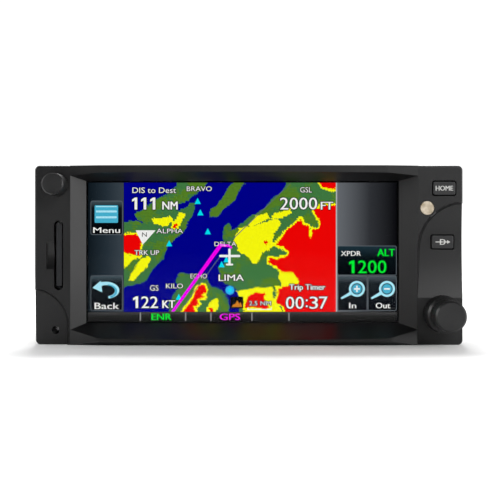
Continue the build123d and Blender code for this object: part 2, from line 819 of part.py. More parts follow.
with BuildPart() as chassis_tub:
    with BuildSketch(facing(0)) as channel:
        with Locations((0, (case_low + inner_high) / 2)):
            Rectangle(2 * case_half, inner_high - case_low)
        fillet(channel.vertices().group_by(Axis.Z)[0], sheet * 1.5)
        with Locations((0, (inner_low + inner_high + 1) / 2)):
            Rectangle(2 * inner_half, inner_high + 1 - inner_low, mode=Mode.SUBTRACT)
    extrude(amount=-case_depth)
    # slot in the floor that the rack lock's dog swings through
    with BuildSketch(Plane.XY.offset(case_low - 1)):
        with Locations(
            (
                (lock_slot_left + lock_slot_right) / 2,
                at_y(lock_slot_front) + lock_slot_length / 2,
            )
        ):
            Rectangle(lock_slot_right - lock_slot_left, lock_slot_length)
    extrude(amount=sheet + 2, mode=Mode.SUBTRACT)
    # cooling slots in both sides
    with BuildSketch(Plane.YZ.offset(-bezel_width)):
        with Locations((at_y(-0.62 * case_depth), 0.36 * bezel_height)):
            with GridLocations(vent_pitch, 1.0, 11, 1):
                SlotOverall(vent_length, vent_width, rotation=90)
    extrude(amount=2 * bezel_width, mode=Mode.SUBTRACT)
    for side in (-1, 1):
        sink = turned_screw(side, case_screw_head, case_screw_radius + 0.13, 2 * sheet)
        for ahead, z in side_screws:
            with Locations((0, -ahead, z)):
                add(sink, mode=Mode.SUBTRACT)
pieces["chassis_tub"] = chassis_tub

cover_front = 0.3
flange_outer = inner_half - fit_gap
with BuildPart() as top_cover:
    with BuildSketch(facing(-cover_front)):
        with Locations((0, inner_high + sheet / 2)):
            Rectangle(2 * case_half, sheet)
    extrude(amount=-(case_depth - cover_front))
    with BuildSketch(facing(-end_plate_front - fit_gap)):
        for side in (-1, 1):
            with Locations((side * (flange_outer - sheet / 2), inner_high - cover_flange / 2)):
                Rectangle(sheet, cover_flange)
    extrude(amount=-(case_depth - end_plate_front - end_plate_rear - 2 * fit_gap))
    long_edges = top_cover.edges().filter_by(Axis.Y).group_by(Axis.Z)[-1]
    fillet(long_edges, sheet * 0.8)
    # cooling slots over the power supply and the transmitter
    with BuildSketch(Plane.XY.offset(inner_high - 1)):
        with Locations((0, at_y(-0.66 * case_depth))):
            with GridLocations(vent_length * 2.2, vent_pitch, 4, 10):
                SlotOverall(vent_length * 1.6, vent_width)
    extrude(amount=sheet + 2, mode=Mode.SUBTRACT)
    side_screw_holes(case_screw_radius + 0.02, -bezel_width, 2 * bezel_width)
pieces["top_cover"] = top_cover

with BuildPart() as case_screws:
    for side in (-1, 1):
        screw = turned_screw(side, case_screw_head - 0.1, case_screw_radius, case_screw_length)
        for ahead, z in side_screws:
            with Locations((0, -ahead, z)):
                add(screw)
pieces["case_screws"] = case_screws

plate_half = inner_half - fit_gap
plate_low = inner_low + fit_gap
plate_high = inner_high - fit_gap
with BuildPart() as front_plate:
    with BuildSketch(facing(0)):
        with Locations((0, (plate_low + plate_high) / 2)):
            Rectangle(2 * plate_half, plate_high - plate_low)
        with Locations(*bezel_screws_at):
            Circle(bezel_screw_hole + 0.25, mode=Mode.SUBTRACT)
        with Locations((lock_x, lock_z)):
            Circle(lock_screw_radius + bush_clearance, mode=Mode.SUBTRACT)
        with Locations((card_x, card_z)):
            Rectangle(reader_width + 1.0, reader_height + 1.0, mode=Mode.SUBTRACT)
        with Locations((screen_x, screen_z - 4)):
            RectangleRounded(46, 8, 2, mode=Mode.SUBTRACT)
        with Locations((right_scoop_x + 8.5, 30.0)):
            RectangleRounded(10, 16, 2, mode=Mode.SUBTRACT)
    extrude(amount=-end_plate_front)
    # room for the heads of the control board screws
    with BuildSketch(facing(0)):
        with Locations(*control_screws):
            Circle(1.8)
    extrude(amount=-1.0, mode=Mode.SUBTRACT)
    # blind holes for the case screws in its two ends
    for side in (-1, 1):
        side_screw_holes(case_screw_radius + 0.02, side * case_half, -side * screw_hole_depth)
pieces["front_plate"] = front_plate

with BuildPart() as bezel_screws:
    with BuildSketch(facing(bezel_screw_bite - 0.5)):
        with Locations(*bezel_screws_at):
            Circle(bezel_screw_hole - 0.02)
    extrude(amount=-(bezel_screw_bite - 0.5 + end_plate_front))
    with BuildSketch(facing(-end_plate_front)):
        with Locations(*bezel_screws_at):
            Circle(1.6)
    extrude(amount=-1.4)
pieces["bezel_screws"] = bezel_screws

# ================================ rack lock ============================================================
lock_head_length = 2.6
lock_head_front = -end_plate_front - fit_gap
lock_screw_front = -0.2
lock_thread_rear = lock_slot_front - lock_slot_length - 4.0
hex_key = 2.38
with BuildPart() as lock_screw:
    with BuildSketch(facing(lock_screw_front)):
        with Locations((lock_x, lock_z)):
            Circle(lock_screw_radius)
    extrude(amount=lock_thread_rear - lock_screw_front)
    with BuildSketch(facing(lock_head_front)):
        with Locations((lock_x, lock_z)):
            Circle(lock_head_radius)
    extrude(amount=-lock_head_length)
    with BuildSketch(facing(lock_screw_front)):
        with Locations((lock_x, lock_z)):
            RegularPolygon(hex_key / 2, 6, major_radius=False)
    extrude(amount=-3.5, mode=Mode.SUBTRACT)
    # the turned-down journals each side of the threaded length
    with BuildSketch(facing(lock_head_front - lock_head_length)):
        with Locations((lock_x, lock_z)):
            Circle(lock_screw_radius)
            Circle(lock_screw_radius - 0.15, mode=Mode.SUBTRACT)
    extrude(amount=lock_slot_front - lock_head_front + lock_head_length + 3.0, mode=Mode.SUBTRACT)
pieces["lock_screw"] = lock_screw

block_width = 9.0
block_length = 4.0
block_high = lock_z + 4.2
front_block = lock_head_front - lock_head_length - 0.2
rear_block = lock_slot_front - lock_slot_length + 0.8
with BuildPart() as lock_blocks:
    for block_front in (front_block, rear_block):
        with BuildSketch(facing(block_front)):
            with Locations((lock_x, (inner_low + block_high) / 2)):
                Rectangle(block_width, block_high - inner_low)
            with Locations((lock_x, lock_z)):
                Circle(lock_screw_radius + running_clearance, mode=Mode.SUBTRACT)
        extrude(amount=-block_length)
pieces["lock_blocks"] = lock_blocks

nut_rear = rear_block + 1.0
nut_length = dog_thickness + 2 * dog_gap + 2.0
with BuildPart() as lock_nut:
    with BuildSketch(facing(nut_rear)):
        with Locations((lock_x, lock_z)):
            Circle(nut_radius)
            Circle(lock_screw_radius + running_clearance, mode=Mode.SUBTRACT)
    extrude(amount=nut_length)
    # collars that keep the dog in place along the nut
    for collar in (nut_rear, nut_rear + nut_length - 1.0):
        with BuildSketch(facing(collar)):
            with Locations((lock_x, lock_z)):
                Circle(nut_radius + 0.7)
                Circle(lock_screw_radius + running_clearance, mode=Mode.SUBTRACT)
        extrude(amount=1.0)
pieces["lock_nut"] = lock_nut

with BuildPart() as lock_dog:
    with BuildSketch(facing(nut_rear + 1.0 + dog_gap)):
        with Locations((lock_x, lock_z)):
            Circle(dog_radius)
        with Locations((lock_x + dog_reach / 2, lock_z + dog_radius / 2 - 1.9)):
            Rectangle(dog_reach, 3.8)
        with Locations((lock_x, lock_z)):
            Circle(nut_radius + running_clearance, mode=Mode.SUBTRACT)
    extrude(amount=dog_thickness)
    lobe_tip = lock_dog.edges().filter_by(Axis.Y).sort_by(Axis.X)[-2:]
    fillet(lobe_tip, 1.0)
pieces["lock_dog"] = lock_dog

# ================================ rear plate and what is on it ==========================================
rear_face = -case_depth
plug_body_width = 10.5
heatsink_x, heatsink_z = -6.0, 50.0
heatsink_width, heatsink_height, heatsink_depth = 56.0, 22.0, 10.0
fan_screws_at = [
    (fan_x + sx * fan_pitch, fan_z + sz * fan_pitch) for sx in (-1, 1) for sz in (-1, 1)
]
plugs = (
    ("main_connector", main_plug_x, main_plug_z, main_plug_width),
    ("second_connector", second_plug_x, second_plug_z, second_plug_width),
)
post_inset = 3.6
posts_at = [
    (x + side * (width / 2 - post_inset), z) for _, x, z, width in plugs for side in (-1, 1)
]
with BuildPart() as rear_plate:
    with BuildSketch(facing(rear_face + end_plate_rear)):
        with Locations((0, (plate_low + plate_high) / 2)):
            Rectangle(2 * plate_half, plate_high - plate_low)
        for _, x, z, width in plugs:
            with Locations((x, z)):
                Rectangle(width - 4 * post_inset + 0.6, plug_body_width + 0.4, mode=Mode.SUBTRACT)
        with Locations(*posts_at):
            Circle(1.5, mode=Mode.SUBTRACT)
        with Locations((fan_x, fan_z)):
            Circle(fan_bore, mode=Mode.SUBTRACT)
        with Locations(*fan_screws_at):
            Circle(1.3, mode=Mode.SUBTRACT)
        with Locations(gps_coax, com_coax):
            Circle(coax_radius + 0.1, mode=Mode.SUBTRACT)
        with Locations(*guide_pins_at):
            Circle(1.5, mode=Mode.SUBTRACT)
    extrude(amount=-end_plate_rear)
    for side in (-1, 1):
        side_screw_holes(case_screw_radius + 0.02, side * case_half, -side * screw_hole_depth)
pieces["rear_plate"] = rear_plate


def connector(x, z, width):
    """A D-shaped multi-pin connector: body through the plate, flange outside it, and shell."""
    shell_width = width - 4 * post_inset + 3.0
    with BuildPart() as plug:
        with BuildSketch(facing(rear_face + end_plate_rear + 10.0)):
            with Locations((x, z)):
                Rectangle(width - 4 * post_inset, plug_body_width - 0.2)
        extrude(amount=-(end_plate_rear + 10.0))
        with BuildSketch(facing(rear_face)):
            with Locations((x, z)):
                RectangleRounded(width, plug_height, 1.2)
            with Locations(*posts_at):
                Circle(1.5, mode=Mode.SUBTRACT)
        extrude(amount=-1.0)
        with BuildSketch(facing(rear_face - 1.0)):
            with Locations((x, z)):
                Trapezoid(shell_width, 8.4, 80, align=(Align.CENTER, Align.CENTER))
        extrude(amount=-6.0)
        with BuildSketch(facing(rear_face - 4.0)):
            with Locations((x, z)):
                Trapezoid(shell_width - 1.6, 6.8, 80, align=(Align.CENTER, Align.CENTER))
        extrude(amount=-6.0, mode=Mode.SUBTRACT)
    return plug


for plug_name, plug_x, plug_z, plug_width in plugs:
    pieces[plug_name] = connector(plug_x, plug_z, plug_width)

with BuildPart() as connector_posts:
    with BuildSketch(facing(rear_face + end_plate_rear)):
        with Locations(*posts_at):
            Circle(1.45)
    extrude(amount=-(end_plate_rear + 1.0))
    with BuildSketch(facing(rear_face - 1.0)):
        with Locations(*posts_at):
            RegularPolygon(2.4, 6, major_radius=False)
            Circle(1.1, mode=Mode.SUBTRACT)
    extrude(amount=-5.0)
pieces["connector_posts"] = connector_posts


def coax_socket(x, z):
    """A bulkhead antenna socket with its lock nut and hollow front."""
    with BuildPart() as socket:
        with BuildSketch(facing(rear_face + end_plate_rear + 5.0)):
            with Locations((x, z)):
                Circle(coax_radius)
        extrude(amount=-(end_plate_rear + 5.0 + rear_pin_reach))
        with BuildSketch(facing(rear_face + end_plate_rear + 2.0)):
            with Locations((x, z)):
                RegularPolygon(7.0, 6, major_radius=False)
        extrude(amount=-2.0)
        with BuildSketch(facing(rear_face)):
            with Locations((x, z)):
                RegularPolygon(7.0, 6, major_radius=False)
        extrude(amount=-2.2)
        with BuildSketch(facing(rear_face - rear_pin_reach + 7.0)):
            with Locations((x, z)):
                Circle(coax_radius - 0.9)
                Circle(1.1, mode=Mode.SUBTRACT)
        extrude(amount=-8.0, mode=Mode.SUBTRACT)
    return socket


pieces["gps_antenna_socket"] = coax_socket(*gps_coax)
pieces["com_antenna_socket"] = coax_socket(*com_coax)

with BuildPart() as guide_pins:
    with BuildSketch(facing(rear_face + end_plate_rear)):
        with Locations(*guide_pins_at):
            Circle(1.45)
    extrude(amount=-end_plate_rear)
    with BuildSketch(facing(rear_face)):
        with Locations(*guide_pins_at):
            Circle(guide_pin_radius)
    extrude(amount=-rear_pin_reach)
    tips = guide_pins.edges().filter_by(GeomType.CIRCLE).group_by(Axis.Y)[-1]
    chamfer(tips, 2.6, 1.4)
pieces["guide_pins"] = guide_pins

with BuildPart() as rear_heatsink:
    with BuildSketch(facing(rear_face)):
        with Locations((heatsink_x, heatsink_z)):
            Rectangle(heatsink_width, heatsink_height)
    extrude(amount=-2.0)
    with BuildSketch(facing(rear_face - 2.0)):
        with Locations((heatsink_x, heatsink_z)):
            with GridLocations((heatsink_width - 1.6) / 12, 1.0, 13, 1):
                Rectangle(1.6, heatsink_height)
    extrude(amount=-(heatsink_depth - 2.0))
pieces["rear_heatsink"] = rear_heatsink

with BuildPart() as fan_frame:
    with BuildSketch(facing(rear_face + end_plate_rear + fan_thickness)):
        with Locations((fan_x, fan_z)):
            RectangleRounded(fan_size, fan_size, 2.0)
            Circle(fan_bore, mode=Mode.SUBTRACT)
        with Locations(*fan_screws_at):
            Circle(1.3, mode=Mode.SUBTRACT)
    extrude(amount=-fan_thickness)
    # motor seat held by three spokes at the inner end
    with BuildSketch(facing(rear_face + end_plate_rear + fan_thickness)):
        with Locations((fan_x, fan_z)):
            Circle(6.5)
            with PolarLocations(fan_bore / 2 + 2.0, 3):
                Rectangle(fan_bore - 3.0, 2.0)
    extrude(amount=-1.4)
    # the fixed axle that the rotor runs on
    with BuildSketch(facing(rear_face + end_plate_rear + fan_thickness)):
        with Locations((fan_x, fan_z)):
            Circle(fan_axle)
    extrude(amount=-(fan_thickness - 2.0))
pieces["fan_frame"] = fan_frame

fan_hub = 6.3
fan_blades = 7
rotor_front = rear_face + end_plate_rear + fan_thickness - 1.8
rotor_depth = fan_thickness - 2.4
blade_root = fan_hub - 0.6
blade_tip = fan_bore - 0.6
with BuildPart() as fan_rotor:
    with BuildSketch(facing(rotor_front)):
        with Locations((fan_x, fan_z)):
            Circle(fan_hub)
    extrude(amount=-rotor_depth)
    fillet(fan_rotor.faces().sort_by(Axis.Y)[-1].edges(), 0.8)
    for blade in range(fan_blades):
        turn = 360 / fan_blades * blade
        outward = Vector(cos(radians(turn)), 0, sin(radians(turn)))
        middle = Vector(fan_x, at_y(rotor_front) + rotor_depth / 2, fan_z)
        blade_plane = Plane(
            origin=middle + outward * blade_root, x_dir=(0, 1, 0), z_dir=outward
        )
        with BuildSketch(blade_plane):
            Rectangle(rotor_depth * 0.95, 0.9, rotation=38)
        extrude(amount=blade_tip - blade_root)
    with BuildSketch(facing(rotor_front)):
        with Locations((fan_x, fan_z)):
            Circle(fan_axle + running_clearance)
    extrude(amount=-(rotor_depth - 1.0), mode=Mode.SUBTRACT)
pieces["fan_rotor"] = fan_rotor

wire = 0.6
with BuildPart() as fan_guard:
    for ring in (3.4, 6.7, 10.0, 13.3):
        with BuildSketch(facing(rear_face - 2 * wire)):
            with Locations((fan_x, fan_z)):
                Circle(ring + wire)
                Circle(ring - wire, mode=Mode.SUBTRACT)
        extrude(amount=-2 * wire)
    with BuildSketch(facing(rear_face)):
        for sx, sz, turn in ((1, 1, 45), (-1, 1, 135)):
            with Locations((fan_x, fan_z)):
                Rectangle(2 * fan_pitch * 1.414, 2 * wire, rotation=turn)
    extrude(amount=-2 * wire)
    with BuildSketch(facing(rear_face)):
        with Locations(*fan_screws_at):
            Circle(2.6)
    extrude(amount=-2 * wire)
    with BuildSketch(facing(rear_face)):
        with Locations(*fan_screws_at):
            Circle(1.35)
    extrude(amount=-2 * wire, mode=Mode.SUBTRACT)
pieces["fan_guard"] = fan_guard

with BuildPart() as fan_screws:
    with BuildSketch(facing(rear_face + end_plate_rear + fan_thickness - 0.5)):
        with Locations(*fan_screws_at):
            Circle(1.2)
    extrude(amount=-(end_plate_rear + fan_thickness - 0.5 + 2 * wire))
    with BuildSketch(facing(rear_face - 2 * wire)):
        with Locations(*fan_screws_at):
            Circle(2.3)
    extrude(amount=-1.5)
    heads = fan_screws.faces().filter_by(Axis.Y).group_by(Axis.Y)[-1].edges()
    fillet(heads, 0.6)
pieces["fan_screws"] = fan_screws

# ================================ electronics inside the case ==========================================
board_left, board_right = -61.0, inner_half - 4.0
board_front_edge, board_rear_edge = -13.0, 18.0 - case_depth
board_middle = (board_front_edge + board_rear_edge) / 2
board_low = 9.0
board_top = board_low + board_thickness
board_holes = [
    (x, ahead)
    for x in (board_left + 6, board_right - 6)
    for ahead in (board_front_edge - 6, board_middle, board_rear_edge + 6)
]
with BuildPart() as main_board:
    with BuildSketch(Plane.XY.offset(board_low)):
        with Locations(((board_left + board_right) / 2, at_y(board_middle))):
            Rectangle(board_right - board_left, board_front_edge - board_rear_edge)
        for x, ahead in board_holes:
            with Locations((x, at_y(ahead))):
                Circle(1.5, mode=Mode.SUBTRACT)
    extrude(amount=board_thickness)
pieces["main_board"] = main_board

power_front, power_rear = -102.0, 56.0 - case_depth
power_x, power_ahead = -26.0, (power_front + power_rear) / 2
power_width, power_length = 60.0, power_front - power_rear
power_low = 30.0
power_holes = [
    (power_x + sx * (power_width / 2 - 5), power_ahead + sy * (power_length / 2 - 5))
    for sx in (-1, 1)
    for sy in (-1, 1)
]
with BuildPart() as board_standoffs:
    with BuildSketch(Plane.XY.offset(inner_low)):
        for x, ahead in board_holes:
            with Locations((x, at_y(ahead))):
                RegularPolygon(2.8, 6, major_radius=False)
    extrude(amount=board_low - inner_low)
    with BuildSketch(Plane.XY.offset(inner_low + 1)):
        for x, ahead in board_holes:
            with Locations((x, at_y(ahead))):
                Circle(1.25)
    extrude(amount=board_low, mode=Mode.SUBTRACT)
    with BuildSketch(Plane.XY.offset(board_top)):
        for x, ahead in power_holes:
            with Locations((x, at_y(ahead))):
                RegularPolygon(2.8, 6, major_radius=False)
    extrude(amount=power_low - board_top)
pieces["board_standoffs"] = board_standoffs

with BuildPart() as board_screws:
    with BuildSketch(Plane.XY.offset(inner_low + 2)):
        for x, ahead in board_holes:
            with Locations((x, at_y(ahead))):
                Circle(1.2)
    extrude(amount=board_top - inner_low - 2)
    with BuildSketch(Plane.XY.offset(board_top)):
        for x, ahead in board_holes:
            with Locations((x, at_y(ahead))):
                Circle(2.4)
    extrude(amount=1.6)
pieces["board_screws"] = board_screws


gps_x, gps_ahead = -34.0, -60.0
gps_width, gps_length, gps_height = 44.0, 56.0, 7.0
with BuildPart() as gps_module:
    with BuildSketch(Plane.XY.offset(board_top)):
        with Locations((gps_x, at_y(gps_ahead))):
            RectangleRounded(gps_width, gps_length, 1.5)
    extrude(amount=gps_height)
    fillet(gps_module.faces().sort_by(Axis.Z)[-1].edges(), 0.8)
pieces["gps_module"] = gps_module

spreader_x, spreader_ahead, spreader_side = 16.0, -58.0, 38.0
with BuildPart() as heat_spreader:
    with BuildSketch(Plane.XY.offset(board_top)):
        with Locations((spreader_x, at_y(spreader_ahead))):
            Rectangle(spreader_side, spreader_side)
    extrude(amount=3.0)
    with BuildSketch(Plane.XY.offset(board_top + 3)):
        with Locations((spreader_x, at_y(spreader_ahead))):
            with GridLocations((spreader_side - 1.6) / 9, 1.0, 10, 1):
                Rectangle(1.6, spreader_side)
    extrude(amount=7.0)
pieces["heat_spreader"] = heat_spreader

com_width, com_height = 54.0, 24.0
com_front, com_rear = -100.0, 34.0 - case_depth
com_x, com_ahead = 36.0, (com_front + com_rear) / 2
com_length = com_front - com_rear
with BuildPart() as com_module:
    with BuildSketch(Plane.XY.offset(board_top)):
        with Locations((com_x, at_y(com_ahead))):
            RectangleRounded(com_width, com_length, 2.0)
    extrude(amount=com_height)
    with BuildSketch(Plane.XY.offset(board_top + com_height - 2)):
        with Locations((com_x, at_y(com_ahead))):
            with GridLocations(1.0, 8.0, 1, int(com_length / 8.0) - 3):
                Rectangle(com_width - 8, 4.0)
    extrude(amount=4.0, mode=Mode.SUBTRACT)
pieces["com_module"] = com_module

with BuildPart() as power_board:
    with BuildSketch(Plane.XY.offset(power_low)):
        with Locations((power_x, at_y(power_ahead))):
            Rectangle(power_width, power_length)
        for x, ahead in power_holes:
            with Locations((x, at_y(ahead))):
                Circle(1.5, mode=Mode.SUBTRACT)
    extrude(amount=board_thickness)
pieces["power_board"] = power_board

power_top = power_low + board_thickness
with BuildPart() as power_components:
    with BuildSketch(Plane.XY.offset(power_top)):
        with Locations((power_x, at_y(power_ahead + 0.23 * power_length))):
            with GridLocations(13.0, 1.0, 3, 1):
                Circle(5.0)
    extrude(amount=16.0)
    with BuildSketch(Plane.XY.offset(power_top)):
        with Locations((power_x - 10, at_y(power_ahead - 0.19 * power_length))):
            Circle(11.0)
            Circle(4.5, mode=Mode.SUBTRACT)
    extrude(amount=9.0)
    with BuildSketch(Plane.XY.offset(power_top)):
        with Locations((power_x + 16, at_y(power_ahead - 0.19 * power_length))):
            Rectangle(14.0, 20.0)
    extrude(amount=12.0)
pieces["power_components"] = power_components

flex_width = 40.0
flex_thickness = 0.3
flex_high = screen_z - 4
with BuildPart() as display_flex:
    with BuildSketch(Plane.YZ.offset(screen_x - flex_width / 2)):
        with BuildLine() as flex_path:
            FilletPolyline(
                (at_y(-0.2), flex_high),
                (at_y(-8.0), flex_high),
                (at_y(-8.0), board_top + 4),
                (at_y(board_front_edge - 5), board_top + 4),
                radius=2.5,
            )
            offset(amount=flex_thickness, side=Side.LEFT)
        make_face()
    extrude(amount=flex_width)
pieces["display_flex"] = display_flex

with BuildPart() as flex_connector:
    with BuildSketch(Plane.XY.offset(board_top)):
        with Locations((screen_x, at_y(board_front_edge - 6.5))):
            Rectangle(flex_width + 4, 5.0)
    extrude(amount=6.5)
    with BuildSketch(Plane.XY.offset(board_top + 3.5)):
        with Locations((screen_x, at_y(board_front_edge - 4.5))):
            Rectangle(flex_width + 0.4, 5.0)
    extrude(amount=1.0, mode=Mode.SUBTRACT)
pieces["flex_connector"] = flex_connector

lead_radius = 1.3


def coax_lead(points, bend):
    """A round lead along straight runs joined by tangent arcs."""
    with BuildPart() as lead:
        with BuildLine() as route:
            FilletPolyline(*points, radius=bend)
        with BuildSketch(Plane(origin=route.line @ 0, z_dir=route.line % 0)):
            Circle(lead_radius)
        sweep(path=route.line)
    return lead


lead_start = rear_face + end_plate_rear + 5.0
pieces["com_antenna_lead"] = coax_lead(
    (
        (com_coax[0], at_y(lead_start), com_coax[1]),
        (com_coax[0], at_y(lead_start + 11), com_coax[1]),
        (com_coax[0], at_y(lead_start + 11), board_top + com_height + 1.4 + 2.6),
        (com_coax[0], at_y(com_rear + 16), board_top + com_height + 1.4 + 2.6),
    ),
    4.5,
)
pieces["gps_antenna_lead"] = coax_lead(
    (
        (gps_coax[0], at_y(lead_start), gps_coax[1]),
        (gps_coax[0], at_y(-92.0), gps_coax[1]),
        (gps_x + 30, at_y(-76.0), gps_coax[1] - 10),
        (gps_x + 8, at_y(-66.0), board_top + gps_height + 8),
        (gps_x + 8, at_y(-66.0), board_top + gps_height + 0.2),
    ),
    3.0,
)

with BuildPart() as data_plate:
    with BuildSketch(Plane.XY.offset(case_high)):
        with Locations((-36.0, at_y(-56.0))):
            RectangleRounded(60.0, 26.0, 2.0)
    extrude(amount=0.3)
pieces["data_plate"] = data_plate

os.makedirs("parts", exist_ok=True)
for name, piece in pieces.items():
    piece.part.label = name
    export_step(piece.part, f"parts/{name}.step")
print(len(pieces), "pieces; panel plane at y", panel_y)
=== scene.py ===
import json
from math import cos, pi, radians, sin

import bmesh
import bpy
import numpy as np
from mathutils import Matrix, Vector


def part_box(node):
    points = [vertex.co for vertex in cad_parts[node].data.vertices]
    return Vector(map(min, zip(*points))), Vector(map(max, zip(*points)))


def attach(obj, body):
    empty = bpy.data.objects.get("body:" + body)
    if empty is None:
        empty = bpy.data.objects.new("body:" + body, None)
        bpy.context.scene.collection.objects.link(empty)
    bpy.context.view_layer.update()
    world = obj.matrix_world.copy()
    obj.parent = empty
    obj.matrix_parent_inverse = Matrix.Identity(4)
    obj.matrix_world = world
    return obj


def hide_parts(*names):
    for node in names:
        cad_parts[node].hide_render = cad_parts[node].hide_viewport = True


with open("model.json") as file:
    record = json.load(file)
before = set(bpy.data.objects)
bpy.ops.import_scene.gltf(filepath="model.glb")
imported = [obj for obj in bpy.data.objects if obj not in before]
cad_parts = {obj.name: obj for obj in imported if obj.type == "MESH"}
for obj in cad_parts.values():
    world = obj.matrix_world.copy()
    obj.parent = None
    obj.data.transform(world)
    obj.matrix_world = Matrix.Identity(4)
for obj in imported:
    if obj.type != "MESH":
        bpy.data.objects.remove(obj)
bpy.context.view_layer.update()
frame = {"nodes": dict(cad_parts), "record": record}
nodes = frame["nodes"]
scene = bpy.context.scene
print("loaded", len(nodes), "nodes")

# ---- camera, level and almost square to the bezel
camera = {"ahead": 0.480, "sideways": 0.00045, "height": 0.0352, "lens": 93.2,
          "columnAhead": 0.013, "sensor": 36, "near": 0.01, "far": 50}
_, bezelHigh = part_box("bezel_frame")
columnFront = bezelHigh.y - camera["columnAhead"]
cameraData = bpy.data.cameras.new("camera")
cameraData.lens = camera["lens"]
cameraData.sensor_width = camera["sensor"]
cameraData.clip_start = camera["near"]
cameraData.clip_end = camera["far"]
cameraObject = bpy.data.objects.new("camera", cameraData)
cameraObject.location = (camera["sideways"], columnFront - camera["ahead"], camera["height"])
cameraObject.rotation_euler = (radians(90), 0, 0)
scene.collection.objects.link(cameraObject)
scene.camera = cameraObject
scene.view_settings.view_transform = "Standard"

# ---- studio: a pale room, bright behind the unit and dimmer behind the camera, with soft lamps
studio = {
    "brightBehind": 1.1, "dimInFront": 0.05,
    "lamps": [
        {"name": "lampRight", "at": (0.85, -0.42, 0.22), "aim": (0.0, -0.12, 0.03),
         "size": 0.45, "watts": 4.2},
        {"name": "lampLeft", "at": (-0.80, -0.36, 0.35), "aim": (0.0, -0.12, 0.03),
         "size": 0.35, "watts": 3.6},
        {"name": "lampAbove", "at": (0.0, 0.85, 1.15), "aim": (0.0, -0.05, 0.0),
         "size": 0.5, "watts": 25.0},
        {"name": "lampFront", "at": (0.40, -1.10, 0.50), "aim": (0.05, -0.12, 0.03),
         "size": 0.35, "watts": 4.2},
    ],
}
room = bpy.data.worlds.new("room")
scene.world = room
room.use_nodes = True
roomTree = room.node_tree
roomLight = roomTree.nodes["Background"]
roomLight.inputs["Color"].default_value = (1, 1, 1, 1)
roomWay = roomTree.nodes.new("ShaderNodeTexCoord")
roomSplit = roomTree.nodes.new("ShaderNodeSeparateXYZ")
roomFade = roomTree.nodes.new("ShaderNodeMapRange")
roomFade.interpolation_type = "SMOOTHSTEP"
for socket, value in (("From Min", -0.1), ("From Max", 0.6),
                      ("To Min", studio["dimInFront"]), ("To Max", studio["brightBehind"])):
    roomFade.inputs[socket].default_value = value
roomTree.links.new(roomWay.outputs["Generated"], roomSplit.inputs["Vector"])
roomTree.links.new(roomSplit.outputs["Y"], roomFade.inputs["Value"])
roomTree.links.new(roomFade.outputs["Result"], roomLight.inputs["Strength"])
for lamp in studio["lamps"]:
    lampData = bpy.data.lights.new(lamp["name"], "AREA")
    lampData.shape = "SQUARE"
    lampData.size = lamp["size"]
    lampData.energy = lamp["watts"]
    lampObject = bpy.data.objects.new(lamp["name"], lampData)
    lampObject.location = lamp["at"]
    lampObject.rotation_euler = (Vector(lamp["aim"]) - Vector(lamp["at"])).to_track_quat("-Z", "Y").to_euler()
    scene.collection.objects.link(lampObject)
print("camera and lamps")


# ---- small helpers for node trees
def newMaterial(name):
    material = bpy.data.materials.new(name)
    material.use_nodes = True
    tree = material.node_tree
    return material, tree, tree.nodes["Principled BSDF"]


def setInputs(node, values):
    for label, value in values.items():
        node.inputs[label].default_value = value


def twoTone(tree, factor, dark, light, low=0.35, high=0.65):
    ramp = tree.nodes.new("ShaderNodeValToRGB")
    ramp.color_ramp.elements[0].position = low
    ramp.color_ramp.elements[0].color = (*dark, 1)
    ramp.color_ramp.elements[1].position = high
    ramp.color_ramp.elements[1].color = (*light, 1)
    tree.links.new(factor, ramp.inputs["Fac"])
    return ramp.outputs["Color"]


def spread(tree, factor, low, high):
    node = tree.nodes.new("ShaderNodeMapRange")
    setInputs(node, {"To Min": low, "To Max": high})
    tree.links.new(factor, node.inputs["Value"])
    return node.outputs["Result"]


def roughen(tree, shader, height, strength, distance):
    bump = tree.nodes.new("ShaderNodeBump")
    setInputs(bump, {"Strength": strength, "Distance": distance})
    tree.links.new(height, bump.inputs["Height"])
    tree.links.new(bump.outputs["Normal"], shader.inputs["Normal"])


def placed(tree, scale=(1, 1, 1)):
    coords = tree.nodes.new("ShaderNodeTexCoord")
    mapping = tree.nodes.new("ShaderNodeMapping")
    mapping.inputs["Scale"].default_value = scale
    tree.links.new(coords.outputs["Object"], mapping.inputs["Vector"])
    return mapping.outputs["Vector"]


def noiseOver(tree, vector, scale, detail=4.0):
    texture = tree.nodes.new("ShaderNodeTexNoise")
    setInputs(texture, {"Scale": scale, "Detail": detail})
    tree.links.new(vector, texture.inputs["Vector"])
    return texture.outputs["Fac"]


# moulded or painted surface: slow mottle in the colour, fine grain in the height
def mouldedFinish(name, look):
    material, tree, shader = newMaterial(name)
    vector = placed(tree)
    mottle = noiseOver(tree, vector, look.get("mottle", 60), 5)
    grain = noiseOver(tree, vector, look["grain"], 3)
    colour = twoTone(tree, mottle, look["dark"], look["light"])
    tree.links.new(colour, shader.inputs["Base Color"])
    roughness = spread(tree, mottle, look["rough"] - 0.06, look["rough"] + 0.06)
    tree.links.new(roughness, shader.inputs["Roughness"])
    roughen(tree, shader, grain, look["bump"], look.get("depth", 0.00005))
    setInputs(shader, {"Specular IOR Level": look.get("specular", 0.5),
                       "Coat Weight": look.get("coat", 0.0)})
    return material


# metal: streaks stretched along one axis
def metalFinish(name, look):
    material, tree, shader = newMaterial(name)
    streaks = noiseOver(tree, placed(tree, look["stretch"]), look["streak"], 6)
    cloud = noiseOver(tree, placed(tree), look.get("cloud", 25), 3)
    colour = twoTone(tree, cloud, look["dark"], look["light"], 0.3, 0.7)
    tree.links.new(colour, shader.inputs["Base Color"])
    roughness = spread(tree, streaks, look["rough"] - 0.09, look["rough"] + 0.12)
    tree.links.new(roughness, shader.inputs["Roughness"])
    roughen(tree, shader, streaks, look["bump"], 0.00004)
    shader.inputs["Metallic"].default_value = 1.0
    return material


